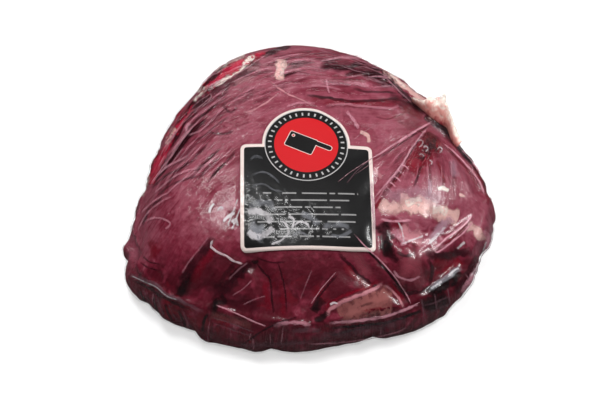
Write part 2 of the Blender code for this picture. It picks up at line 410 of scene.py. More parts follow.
def marks_field(surface: Surface, marks: tuple, widening: float = 1.0) -> np.ndarray:
    """Strength of a set of marks at each point of a surface, as the sum of strokes that fade to side and end.

    Args:
        surface: The surface.
        marks: The marks.
        widening: Factor on the marks' reach.

    Returns:
        One value for each point.
    """
    total = np.zeros(len(surface.points))
    for mark in marks:
        reach = mark.reach * widening
        near, away, along = distance_to(surface.points, surface.route(mark.seen), 2.6 * reach)
        ends = smooth_step(0.0, 0.2, along) * smooth_step(0.0, 0.2, 1.0 - along)
        total[near] += mark.strength * (0.3 + 0.7 * ends) * np.exp(-((away / reach) ** 2))
    return total


class Nodes:
    """A node tree of a material or a shader group, with short calls for the nodes that the finishes use."""

    def __init__(self, tree: bpy.types.NodeTree) -> None:
        """Starts on an empty tree.

        Args:
            tree: The tree to fill.
        """
        self.tree = tree
        tree.nodes.clear()

    def add(self, kind: str, settings: dict | None = None, **inputs: object) -> bpy.types.Node:
        """Adds a node.

        Args:
            kind: Its type, without ShaderNode.
            settings: Its own settings by name.
            **inputs: Values or sockets for its inputs, by name with _ for a space, or as i0, i1 by number.

        Returns:
            The node.
        """
        node = self.tree.nodes.new("ShaderNode" + kind)
        for name, value in (settings or {}).items():
            setattr(node, name, value)
        for name, value in inputs.items():
            key = int(name[1:]) if name[0] == "i" and name[1:].isdigit() else name.replace("_", " ")
            self.feed(node.inputs[key], value)
        return node

    def feed(self, socket: bpy.types.NodeSocket, value: object) -> None:
        """Links a socket to another, or sets its constant."""
        if isinstance(value, bpy.types.NodeSocket):
            self.tree.links.new(value, socket)
        elif isinstance(value, tuple) and len(value) == 3 and socket.type == "RGBA":
            socket.default_value = (*value, 1.0)
        else:
            socket.default_value = value

    def math(self, operation: str, first: object, second: object = 0.0, clamp: bool = False) -> bpy.types.NodeSocket:
        """Result of a Math node on two values or sockets."""
        return self.add("Math", {"operation": operation, "use_clamp": clamp}, i0=first, i1=second).outputs[0]

    def total(self, *terms: tuple) -> bpy.types.NodeSocket:
        """Sum of products, each given as (first, second)."""
        result = self.math("MULTIPLY", *terms[0])
        for first, second in terms[1:]:
            node = self.add("Math", {"operation": "MULTIPLY_ADD"}, i0=first, i1=second, i2=result)
            result = node.outputs[0]
        return result

    def vector(self, operation: str, first: object, second: object = (0.0, 0.0, 0.0)) -> bpy.types.Node:
        """A Vector Math node on two values or sockets."""
        return self.add("VectorMath", {"operation": operation}, i0=first, i1=second)

    def ramp(self, value: object, low: float, high: float, start: float = 0.0, end: float = 1.0) -> bpy.types.NodeSocket:
        """A value mapped smoothly from one range to another, and held at its ends.

        Args:
            value: The value or its socket.
            low: Value that gives start.
            high: Value that gives end.
            start: Result at low.
            end: Result at high.

        Returns:
            The result's socket.
        """
        node = self.add("MapRange", {"interpolation_type": "SMOOTHSTEP"}, i0=value, i1=low, i2=high, i3=start, i4=end)
        return node.outputs[0]

    def mix(self, share: object, first: object, second: object) -> bpy.types.NodeSocket:
        """Colour between two colours, by a share of the second."""
        node = self.add("Mix", {"data_type": "RGBA"}, i0=share, i6=first, i7=second)
        return node.outputs[2]

    def mask(self, name: str) -> bpy.types.NodeSocket:
        """The value of a point attribute."""
        return self.add("Attribute", {"attribute_name": name}).outputs["Fac"]

    def place(self) -> bpy.types.NodeSocket:
        """The place on the object, in metres."""
        return self.add("TexCoord").outputs["Object"]

    def grain(self, place: object, scale: float, detail: float = 2.0, warp: float = 0.0) -> bpy.types.NodeSocket:
        """Noise from 0 to 1 at a place.

        Args:
            place: The place or its socket.
            scale: Waves a unit.
            detail: How many finer layers it has.
            warp: How far it distorts itself.

        Returns:
            The noise's socket.
        """
        node = self.add("TexNoise", Vector=place, Scale=scale, Detail=detail, Distortion=warp)
        return node.outputs[0]

    def group(self, tree: bpy.types.NodeTree, **inputs: object) -> bpy.types.Node:
        """Places a shader group with its own values."""
        node = self.tree.nodes.new("ShaderNodeGroup")
        node.node_tree = tree
        for name, value in inputs.items():
            self.feed(node.inputs[name.replace("_", " ")], value)
        return node


def new_material(name: str) -> tuple[bpy.types.Material, Nodes]:
    """An empty material with nodes.

    Args:
        name: Its name.

    Returns:
        The material and its node tree.
    """
    material = bpy.data.materials.new(name)
    material.use_nodes = True
    return material, Nodes(material.node_tree)


def new_group(name: str, inputs: dict, outputs: tuple) -> tuple[Nodes, bpy.types.Node, bpy.types.Node]:
    """An empty shader group with number sockets.

    Args:
        name: Its name.
        inputs: Its inputs' names and default values; three numbers make a vector.
        outputs: Its outputs' names.

    Returns:
        Its node tree, its input node and its output node.
    """
    tree = bpy.data.node_groups.new(name, "ShaderNodeTree")
    for label, value in inputs.items():
        kind = "NodeSocketVector" if isinstance(value, tuple) else "NodeSocketFloat"
        socket = tree.interface.new_socket(label, in_out="INPUT", socket_type=kind)
        socket.default_value = value
    for label in outputs:
        tree.interface.new_socket(label, in_out="OUTPUT", socket_type="NodeSocketFloat")
    nodes = Nodes(tree)
    return nodes, tree.nodes.new("NodeGroupInput"), tree.nodes.new("NodeGroupOutput")


def curved_streaks() -> bpy.types.NodeTree:
    """Group of streaks that run round a middle, or out from it, as stretched film and muscle fibre do.

    Returns:
        The group, with Crest from 0 between the streaks to 1 on them, and Soft, the same with no sharp crest.
    """
    nodes, given, result = new_group(
        "curved_streaks",
        {"Middle": (0.0, 0.0, 0.0), "Around": 10.0, "Outward": 10.0, "Warp": 0.6, "Seed": 0.0},
        ("Crest", "Soft"),
    )
    arm = nodes.vector("SUBTRACT", nodes.place(), given.outputs["Middle"]).outputs[0]
    radius = nodes.vector("LENGTH", arm).outputs["Value"]
    level = nodes.vector("MULTIPLY", arm, (1.0, 1.0, 0.0)).outputs[0]
    spin = nodes.vector("SCALE", nodes.vector("NORMALIZE", level).outputs[0])
    nodes.feed(spin.inputs["Scale"], given.outputs["Around"])
    parts = nodes.add("SeparateXYZ", Vector=spin.outputs[0])
    out = nodes.total((radius, given.outputs["Outward"]), (given.outputs["Seed"], 17.0))
    flow = nodes.add("CombineXYZ", X=parts.outputs[0], Y=parts.outputs[1], Z=out)
    texture = nodes.add("TexNoise", Vector=flow.outputs[0], Scale=1.0, Detail=2.5, Roughness=0.55)
    nodes.feed(texture.inputs["Distortion"], given.outputs["Warp"])
    soft = texture.outputs[0]
    off_middle = nodes.math("ABSOLUTE", nodes.math("SUBTRACT", soft, 0.5))
    crest = nodes.math("SUBTRACT", 1.0, nodes.math("MULTIPLY", off_middle, 8.0), clamp=True)
    nodes.feed(result.inputs["Crest"], crest)
    nodes.feed(result.inputs["Soft"], soft)
    return nodes.tree


# Middles of the fans of wrinkles: the long arcs over the left half, the wall's pleats, the gathers from the knot
ARC_MIDDLE = (0.040, -0.115, 0.0)
WALL_MIDDLE = (0.0, 0.0, 0.018)
KNOT_SEEN = (437, 122)


def small_wrinkles(streaks: bpy.types.NodeTree, knot: tuple) -> bpy.types.NodeTree:
    """Group for the small wrinkles that the film and the meat under it share.

    Args:
        streaks: The group of curved streaks.
        knot: Place of the knot that the gathers run from.

    Returns:
        The group, whose Height is about -0.5 in the valleys and 0.5 on the crests, and 0 where there are none.
    """
    nodes, _, result = new_group("small_wrinkles", {}, ("Height",))
    place = nodes.place()
    fields = {
        Zone.FAN: (
            nodes.group(streaks, Middle=ARC_MIDDLE, Around=5.0, Outward=150.0, Warp=1.2, Seed=1.0),
            nodes.group(streaks, Middle=ARC_MIDDLE, Around=12.0, Outward=380.0, Warp=1.0, Seed=2.0),
        ),
        Zone.RAYS: (
            nodes.group(streaks, Middle=knot, Around=13.0, Outward=34.0, Warp=1.0, Seed=5.0),
            nodes.group(streaks, Middle=knot, Around=36.0, Outward=80.0, Warp=0.8, Seed=6.0),
        ),
        Zone.WALL: (
            nodes.group(streaks, Middle=WALL_MIDDLE, Around=7.0, Outward=30.0, Warp=2.0, Seed=7.0),
            nodes.group(streaks, Middle=WALL_MIDDLE, Around=12.0, Outward=50.0, Warp=2.0, Seed=8.0),
        ),
    }
    total = None
    for zone, (broad, fine) in fields.items():
        height = nodes.total((broad.outputs["Soft"], 1.1), (fine.outputs["Crest"], 0.35))
        height = nodes.math("MULTIPLY", nodes.math("SUBTRACT", height, 0.68), nodes.mask(zone.value))
        total = height if total is None else nodes.math("ADD", total, height)
    stretched = nodes.vector("MULTIPLY", place, (34.0, 170.0, 60.0)).outputs[0]
    folds = nodes.math("SUBTRACT", nodes.grain(stretched, 1.0, 3.0, 0.8), 0.5)
    crumple = nodes.math("SUBTRACT", nodes.grain(place, 95.0, 0.6, 1.4), 0.5)
    folds = nodes.math("MULTIPLY", folds, nodes.mask(Zone.TOP.value))
    crumple = nodes.math("MULTIPLY", crumple, nodes.mask(Zone.CRUMPLE.value))
    general = nodes.math("SUBTRACT", nodes.grain(place, 170.0, 1.0, 0.6), 0.5)
    extra = nodes.total((folds, 2.6), (crumple, 2.6), (general, 0.3))
    nodes.feed(result.inputs["Height"], nodes.math("ADD", total, extra))
    return nodes.tree


@dataclass(frozen=True)
class MeatFinish:
    """Raw beef under film: deep, plain and dusty lean, blood, and a pale painted sheen of reflected light over them;
    the deep and the dusty lean also stand for painted shade and light.
    """

    # The deep colour is the lean in painted shade as well as in its own darker patches; the dusty one is the lean as
    # the lights brighten it with sheen.
    deep: tuple = linear(84, 6, 26)
    lean: tuple = linear(119, 28, 50)
    dusty: tuple = linear(147, 68, 86)
    fibre: tuple = linear(184, 102, 118)
    blood: tuple = linear(124, 6, 30)
    # Colour of the painted sheen, the pale reflection of the lights on the wet film.
    painted_sheen: tuple = linear(222, 168, 178)
    roughness: float = 0.45

    def build(self, streaks: bpy.types.NodeTree, wrinkles: bpy.types.NodeTree) -> bpy.types.Material:
        """Makes the meat's material.

        Args:
            streaks: The group of curved streaks.
            wrinkles: The group of small wrinkles.

        Returns:
            The material.
        """
        material, nodes = new_material("beef_under_film")
        place = nodes.place()
        mottle = nodes.math("SUBTRACT", nodes.grain(place, 70.0, 4.0, 0.8), 0.5)
        fine = nodes.math("SUBTRACT", nodes.grain(place, 380.0, 3.0, 0.4), 0.5)
        height = nodes.group(wrinkles).outputs[0]
        fibre = nodes.group(streaks, Middle=ARC_MIDDLE, Around=9.0, Outward=520.0, Warp=0.8, Seed=3.0)
        # The meat's own mottle and painted shading together: the mask, random mottle, and the wrinkles, darker in their
        # valleys and paler on their crests.
        tone_and_shading = nodes.math("ADD", nodes.mask("tone_and_shading"), nodes.total((mottle, 1.2), (fine, 0.7), (height, 1.3)))
        lean = nodes.mix(nodes.ramp(tone_and_shading, -0.1, 0.5), self.deep, self.lean)
        lean = nodes.mix(nodes.ramp(tone_and_shading, 0.4, 1.05), lean, self.dusty)
        off_wall = nodes.ramp(nodes.mask(Zone.WALL.value), 0.05, 0.5, 1.0, 0.0)
        threads = nodes.math("MULTIPLY", fibre.outputs["Crest"], nodes.ramp(tone_and_shading, 0.0, 1.0, 0.03, 0.20))
        lean = nodes.mix(nodes.math("MULTIPLY", threads, off_wall), lean, self.fibre)
        # Painted sheen: pale reflected light laid over the lean by its mask, by mottle and on the wrinkles' crests.
        painted_sheen = nodes.math("ADD", nodes.mask("painted_sheen"), nodes.total((mottle, 0.7), (fine, 0.8), (height, 0.5)))
        colour = nodes.mix(nodes.ramp(painted_sheen, 0.2, 1.0, 0.0, 0.7), lean, self.painted_sheen)
        blood = nodes.math("ADD", nodes.mask("blood"), nodes.total((mottle, 0.8), (height, -0.8)))
        colour = nodes.mix(nodes.ramp(blood, 0.2, 0.8, 0.0, 0.85), colour, self.blood)
        soft_fibre = nodes.math("MULTIPLY", fibre.outputs["Soft"], off_wall)
        relief = nodes.total((height, 1.0), (fine, 0.4), (soft_fibre, 0.25))
        bump = nodes.add("Bump", Strength=0.8, Distance=0.0010, Height=relief)
        shader = nodes.add("BsdfPrincipled", Roughness=self.roughness, Normal=bump.outputs[0])
        nodes.feed(shader.inputs["Base Color"], colour)
        shader.inputs["Specular IOR Level"].default_value = 0.25
        nodes.add("OutputMaterial", Surface=shader.outputs[0])
        return material


@dataclass(frozen=True)
class FilmFinish:
    """Clear glossy shrink film, milky where it is gathered."""

    milk: tuple = linear(222, 205, 212)
    gloss_roughness: float = 0.17
    most_mirror: float = 0.13
    index: float = 1.48
    clear: tuple = (1.0, 1.0, 1.0)

    def build(self, wrinkles: bpy.types.NodeTree) -> bpy.types.Material:
        """Makes the film's material.

        Args:
            wrinkles: The group of small wrinkles.

        Returns:
            The material.
        """
        material, nodes = new_material("shrink_film")
        bump = nodes.add("Bump", Strength=0.8, Distance=0.0008, Height=nodes.group(wrinkles).outputs[0])
        clear = nodes.add("BsdfTransparent", Color=self.clear)
        milk = nodes.add("BsdfPrincipled", Roughness=0.5)
        milk.inputs["Base Color"].default_value = (*self.milk, 1.0)
        body = nodes.add("MixShader", i0=nodes.mask("milk"), i1=clear.outputs[0], i2=milk.outputs[0])
        gloss = nodes.add("BsdfGlossy", Roughness=self.gloss_roughness, Normal=bump.outputs[0])
        mirror = nodes.add("Fresnel", IOR=self.index, Normal=bump.outputs[0])
        share = nodes.math("MINIMUM", mirror.outputs[0], self.most_mirror)
        film = nodes.add("MixShader", i0=share, i1=body.outputs[0], i2=gloss.outputs[0])
        nodes.add("OutputMaterial", Surface=film.outputs[0])
        return material


@dataclass(frozen=True)
class StrokeFinish:
    """Strokes with soft ragged edges, each in its own colour."""

    name: str
    roughness: float
    ragged: float
    full: float
    grain_scale: float

    def build(self) -> bpy.types.Material:
        """Makes the material.

        Returns:
            The material.
        """
        material, nodes = new_material(self.name)
        place = nodes.place()
        grain = nodes.math("SUBTRACT", nodes.grain(place, self.grain_scale, 3.0, 0.6), 0.5)
        across, along = nodes.mask("across"), nodes.mask("along")
        sides = nodes.math("SUBTRACT", 1.0, nodes.math("MULTIPLY", across, across))
        ends = nodes.math("MULTIPLY", along, nodes.math("SUBTRACT", 1.0, along))
        body = nodes.math("MULTIPLY", sides, nodes.ramp(ends, 0.0, 0.10))
        edge = nodes.total((body, 1.0), (grain, self.ragged))
        cover = nodes.math("MULTIPLY", nodes.ramp(edge, 0.05, self.full), nodes.ramp(body, 0.0, 0.35))
        cover = nodes.math("MULTIPLY", cover, nodes.mask("cover"))
        falloff = nodes.math("MULTIPLY", sides, nodes.ramp(ends, 0.0, 0.20))
        softer = nodes.math("MULTIPLY", nodes.mask("soft"), nodes.math("SUBTRACT", 1.0, falloff))
        cover = nodes.math("MULTIPLY", cover, nodes.math("SUBTRACT", 1.0, softer))
        cover = nodes.math("MULTIPLY", cover, nodes.ramp(nodes.grain(place, 130.0, 2.0), 0.34, 0.52, 0.60, 1.0))
        tint = nodes.add("Attribute", {"attribute_name": "tint"}).outputs["Color"]
        shade = nodes.mix(nodes.ramp(grain, -0.02, -0.20, 0.0, 0.25), tint, linear(90, 16, 34))
        shader = nodes.add("BsdfPrincipled", Roughness=self.roughness)
        nodes.feed(shader.inputs["Base Color"], shade)
        nodes.feed(shader.inputs["Alpha"], cover)
        shader.inputs["Specular IOR Level"].default_value = 0.3
        nodes.add("OutputMaterial", Surface=shader.outputs[0])
        return material


@dataclass(frozen=True)
class LineFinish:
    """Film drawn into a thin raised line, pale as drawn film and with a painted highlight along it."""

    name: str = "drawn_film"
    colour: tuple = linear(214, 162, 172)
    cover: float = 0.6
    roughness: float = 0.15

    def build(self) -> bpy.types.Material:
        """Makes the material.

        Returns:
            The material.
        """
        material, nodes = new_material(self.name)
        patchy = nodes.ramp(nodes.grain(nodes.place(), 260.0, 2.0), 0.34, 0.62, 0.25, 1.0)
        shader = nodes.add("BsdfPrincipled", Roughness=self.roughness)
        shader.inputs["Base Color"].default_value = (*self.colour, 1.0)
        nodes.feed(shader.inputs["Alpha"], nodes.math("MULTIPLY", patchy, self.cover))
        nodes.add("OutputMaterial", Surface=shader.outputs[0])
        return material


@dataclass(frozen=True)
class FatFinish:
    """The fibrous tag of fat at the knot."""

    cream: tuple = linear(252, 238, 226)
    pink: tuple = linear(232, 160, 150)
    red: tuple = linear(170, 60, 70)

    def build(self) -> bpy.types.Material:
        """Makes the material.

        Returns:
            The material.
        """
        material, nodes = new_material("fat_tag")
        place = nodes.place()
        strands = nodes.mask("strand")
        lumps = nodes.math("SUBTRACT", nodes.grain(place, 260.0, 3.0, 0.8), 0.5)
        red = nodes.math("ADD", nodes.mask("root"), nodes.math("MULTIPLY", lumps, 1.6))
        colour = nodes.mix(nodes.ramp(red, 0.05, 0.75), self.cream, self.pink)
        colour = nodes.mix(nodes.ramp(red, 0.75, 1.25), colour, self.red)
        dark = nodes.total((strands, -0.5), (lumps, 1.2))
        colour = nodes.mix(nodes.ramp(dark, 0.05, 0.5, 0.0, 0.55), colour, self.pink)
        bump = nodes.add("Bump", Strength=0.8, Distance=0.0008, Height=lumps)
        shader = nodes.add("BsdfPrincipled", Roughness=0.3, Normal=bump.outputs[0])
        nodes.feed(shader.inputs["Base Color"], colour)
        solid = nodes.total((nodes.mask("root"), 1.0), (strands, 0.4), (lumps, 0.9))
        nodes.feed(shader.inputs["Alpha"], nodes.ramp(solid, -0.14, 0.22, 0.15, 1.0))
        nodes.add("OutputMaterial", Surface=shader.outputs[0])
        return material


class Print:
    """The label's print, from plain shapes measured in metres from the medallion's middle."""

    BORDER = 0.0022
    RING = 0.0258
    RING_LINE = 0.0003
    DISC = 0.0200
    SOFT = 0.00006

    def __init__(self, label: "Label") -> None:
        """Starts the print for a label.

        Args:
            label: The label, for its sizes.
        """
        self.label = label
        self.black = linear(16, 15, 16)
        self.white = linear(236, 218, 212)
        self.light = linear(190, 188, 188)
        self.red = linear(206, 24, 32)

    def rounded_box(self) -> bpy.types.NodeTree:
        """Group for the distance to a rounded rectangle, negative inside it."""
        nodes, given, result = new_group(
            "rounded_box", {"Place": (0.0, 0.0, 0.0), "Middle": (0.0, 0.0, 0.0), "Half": (1.0, 1.0, 0.0), "Corner": 0.0},
            ("Distance",),
        )
        arm = nodes.vector("SUBTRACT", given.outputs["Place"], given.outputs["Middle"]).outputs[0]
        past = nodes.vector("SUBTRACT", nodes.vector("ABSOLUTE", arm).outputs[0], given.outputs["Half"]).outputs[0]
        corner = nodes.add("CombineXYZ", X=given.outputs["Corner"], Y=given.outputs["Corner"], Z=-1.0)
        past = nodes.vector("ADD", past, corner.outputs[0]).outputs[0]
        outside = nodes.vector("LENGTH", nodes.vector("MAXIMUM", past, (0.0, 0.0, 0.0)).outputs[0]).outputs["Value"]
        parts = nodes.add("SeparateXYZ", Vector=past)
        inside = nodes.math("MINIMUM", nodes.math("MAXIMUM", parts.outputs[0], parts.outputs[1]), 0.0)
        distance = nodes.math("SUBTRACT", nodes.math("ADD", outside, inside), given.outputs["Corner"])
        nodes.feed(result.inputs["Distance"], distance)
        return nodes.tree

    def build(self) -> bpy.types.Material:
        """Makes the label's material.

        Returns:
            The material.
        """
        material, nodes = new_material("label_paper")
        box = self.rounded_box()
        flat = nodes.add("Attribute", {"attribute_name": "flat_place"}).outputs["Vector"]
        radius = nodes.vector("LENGTH", flat).outputs["Value"]
        half_width, length = self.label.width / 2, self.label.length
        field_box = nodes.group(
            box, Place=flat, Middle=(0.0, -length / 2, 0.0),
            Half=(half_width - self.BORDER, length / 2 - self.BORDER, 0.0), Corner=0.0018,
        )
        field_shape = nodes.math("MINIMUM", field_box.outputs[0], nodes.math("SUBTRACT", radius, self.RING))
        colour = nodes.mix(self.inside(nodes, field_shape), self.white, self.black)
        ring = nodes.math("SUBTRACT", nodes.math("ABSOLUTE", nodes.math("SUBTRACT", radius, self.RING)), self.RING_LINE)
        colour = nodes.mix(self.inside(nodes, ring), colour, self.light)
        colour = nodes.mix(self.inside(nodes, self.ring_ticks(nodes, flat, radius)), colour, self.light)
        disc = nodes.math("SUBTRACT", radius, self.DISC)
        colour = nodes.mix(self.inside(nodes, disc), colour, self.red)
        cleaver = self.cleaver(nodes, flat, box)
        outline = nodes.math("SUBTRACT", cleaver, 0.0004)
        colour = nodes.mix(self.inside(nodes, outline), colour, self.white)
        colour = nodes.mix(self.inside(nodes, cleaver), colour, self.black)
        colour = nodes.mix(self.bars(nodes, flat), colour, self.light)
        shader = nodes.add("BsdfPrincipled", Roughness=0.45)
        nodes.feed(shader.inputs["Base Color"], colour)
        shader.inputs["Specular IOR Level"].default_value = 0.2
        nodes.add("OutputMaterial", Surface=shader.outputs[0])
        return material

    def inside(self, nodes: Nodes, distance: object) -> bpy.types.NodeSocket:
        """Share of a shape at a place, by the distance to its edge."""
        return nodes.ramp(distance, self.SOFT, -self.SOFT)

    def ring_ticks(self, nodes: Nodes, flat: object, radius: object) -> bpy.types.NodeSocket:
        """Distance to the short ticks round the medallion's black ring."""
        parts = nodes.add("SeparateXYZ", Vector=flat)
        turn = nodes.math("ARCTAN2", parts.outputs[1], parts.outputs[0])
        step = nodes.math("MULTIPLY", turn, 36 / (2 * math.pi))
        off = nodes.math("ABSOLUTE", nodes.math("SUBTRACT", nodes.math("FRACT", step), 0.5))
        across = nodes.math("SUBTRACT", nodes.math("MULTIPLY", off, 0.0040), 0.0005)
        along = nodes.math("SUBTRACT", nodes.math("ABSOLUTE", nodes.math("SUBTRACT", radius, 0.0228)), 0.0011)
        return nodes.math("MAXIMUM", across, along)

    def cleaver(self, nodes: Nodes, flat: object, box: bpy.types.NodeTree) -> bpy.types.NodeSocket:
        """Distance to a plain cleaver, the medallion's motif."""
        turned = nodes.add("Mapping", Vector=flat, Rotation=(0.0, 0.0, math.radians(24.0))).outputs[0]
        blade = nodes.group(box, Place=turned, Middle=(-0.0035, 0.0, 0.0), Half=(0.0090, 0.0055, 0.0), Corner=0.0010)
        handle = nodes.group(box, Place=turned, Middle=(0.0100, 0.0036, 0.0), Half=(0.0055, 0.0015, 0.0), Corner=0.0014)
        shape = nodes.math("MINIMUM", blade.outputs[0], handle.outputs[0])
        hole_arm = nodes.vector("SUBTRACT", turned, (-0.0100, 0.0030, 0.0)).outputs[0]
        hole = nodes.math("SUBTRACT", nodes.vector("LENGTH", hole_arm).outputs["Value"], 0.0011)
        return nodes.math("MAXIMUM", shape, nodes.math("MULTIPLY", hole, -1.0))

    def bars(self, nodes: Nodes, flat: object) -> bpy.types.NodeSocket:
        """Share of the rows of plain light bars on the label's lower half."""
        parts = nodes.add("SeparateXYZ", Vector=flat)
        row_place = nodes.math("DIVIDE", nodes.math("ADD", parts.outputs[1], 0.0645), 0.0046)
        row = nodes.math("FLOOR", row_place)
        within = nodes.math("ABSOLUTE", nodes.math("SUBTRACT", nodes.math("FRACT", row_place), 0.5))
        cell = nodes.math("FLOOR", nodes.math("DIVIDE", parts.outputs[0], 0.0017))
        key = nodes.add("CombineXYZ", X=cell, Y=row, Z=0.0)
        chance = nodes.add("TexWhiteNoise", {"noise_dimensions": "3D"}, Vector=key.outputs[0]).outputs["Value"]
        reach = nodes.add("TexWhiteNoise", {"noise_dimensions": "1D"}, W=row).outputs["Value"]
        half = nodes.math("ADD", nodes.math("MULTIPLY", reach, 0.012), 0.020)
        tests = (
            nodes.math("LESS_THAN", within, 0.10),
            nodes.math("GREATER_THAN", chance, 0.22),
            nodes.math("LESS_THAN", nodes.math("ABSOLUTE", parts.outputs[0]), half),
            nodes.math("GREATER_THAN", row, -0.5),
            nodes.math("LESS_THAN", row, 6.5),
        )
        share = tests[0]
        for test in tests[1:]:
            share = nodes.math("MULTIPLY", share, test)
        return nodes.math("MULTIPLY", share, 0.6)


@dataclass
class Label:
    """The label sheet between meat and film: a rounded rectangle with a round medallion on its far edge."""

    width: float = 0.082
    length: float = 0.070
    corner: float = 0.0035
    medallion: float = 0.0275
    far_edge: tuple = (-0.0006, 0.0016)
    turn: float = math.radians(1.0)
    cell: float = 0.0014
    thickness: float = 0.00018
    above: float = 0.0002

    def arc(self, middle: tuple, radius: float, start: float, stop: float, steps: int) -> list:
        """Flat points of an arc.

        Args:
            middle: Its middle.
            radius: Its radius.
            start: Its first angle in degrees.
            stop: Its last angle in degrees.
            steps: How many parts it has.

        Returns:
            The points.
        """
        angles = (math.radians(start + (stop - start) * step / steps) for step in range(steps + 1))
        return [(middle[0] + radius * math.cos(a), middle[1] + radius * math.sin(a)) for a in angles]

    def outline(self) -> list:
        """Flat outline of the label, anticlockwise."""
        side, near = self.width / 2 - self.corner, self.corner - self.length
        return [
            *self.arc((side, near), self.corner, -90, 0, 6),
            *self.arc((side, -self.corner), self.corner, 0, 90, 6),
            *self.arc((0, 0), self.medallion, 0, 180, 60),
            *self.arc((-side, -self.corner), self.corner, 90, 180, 6),
            *self.arc((-side, near), self.corner, 180, 270, 6),
        ]

    def flat_places(self, points: np.ndarray) -> np.ndarray:
        """Places of the frame's points in the label's own flat frame."""
        rel = points[:, :2] - self.far_edge
        cosine, sine = math.cos(self.turn), math.sin(self.turn)
        return np.stack([rel[:, 0] * cosine + rel[:, 1] * sine, rel[:, 1] * cosine - rel[:, 0] * sine], axis=1)

    def depth_inside(self, points: np.ndarray) -> np.ndarray:
        """How far inside the label's outline points are, negative outside.

        Args:
            points: The points, one in a row.

        Returns:
            One distance for each point.
        """
        flat = self.flat_places(points)
        middle, half = np.array([0.0, -self.length / 2]), np.array([self.width / 2, self.length / 2])
        past = np.abs(flat - middle) - half
        box = np.hypot(*np.maximum(past, 0.0).T) + np.minimum(past.max(axis=1), 0.0)
        disc = np.hypot(*flat.T) - self.medallion
        return -np.minimum(box, disc)

    def build(self, surface: Surface) -> bpy.types.Object:
        """Cuts the sheet, lays it on the pack and prints it.

        Args:
            surface: The pack's surface.

        Returns:
            The label.
        """
        bm = bmesh.new()
        bm.faces.new([bm.verts.new((x, y, 0.0)) for x, y in self.outline()])
        across, along = int(self.width / 2 / self.cell), int(self.length / self.cell)
        rise = int(self.medallion / self.cell)
        for axis, first, last in ((0, -across, across), (1, -along, rise)):
            normal = Vector((float(axis == 0), float(axis == 1), 0.0))
            for cut in range(first, last + 1):
                whole = [*bm.verts, *bm.edges, *bm.faces]
                bmesh.ops.bisect_plane(bm, geom=whole, dist=1e-6, plane_co=normal * cut * self.cell, plane_no=normal)
        mesh = bpy.data.meshes.new("label_skin")
        flat = np.array([(vert.co.x, vert.co.y, 0.0) for vert in bm.verts])
        cosine, sine = math.cos(self.turn), math.sin(self.turn)
        for vert in bm.verts:
            x = self.far_edge[0] + vert.co.x * cosine - vert.co.y * sine
            y = self.far_edge[1] + vert.co.x * sine + vert.co.y * cosine
            hit = surface.tree.ray_cast(Vector((x, y, 0.2)), Vector((0.0, 0.0, -1.0)))[0]
            vert.co = (x, y, hit.z + self.above)
        bm.to_mesh(mesh)
        bm.free()
        mesh.attributes.new("flat_place", "FLOAT_VECTOR", "POINT").data.foreach_set("vector", flat.ravel())
        mesh.shade_smooth()
        piece = add_piece("label_skin", mesh, Print(self).build())
        wall = piece.modifiers.new("paper", "SOLIDIFY")
        wall.thickness = self.thickness
        wall.offset = 1.0
        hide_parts("label")
        return piece


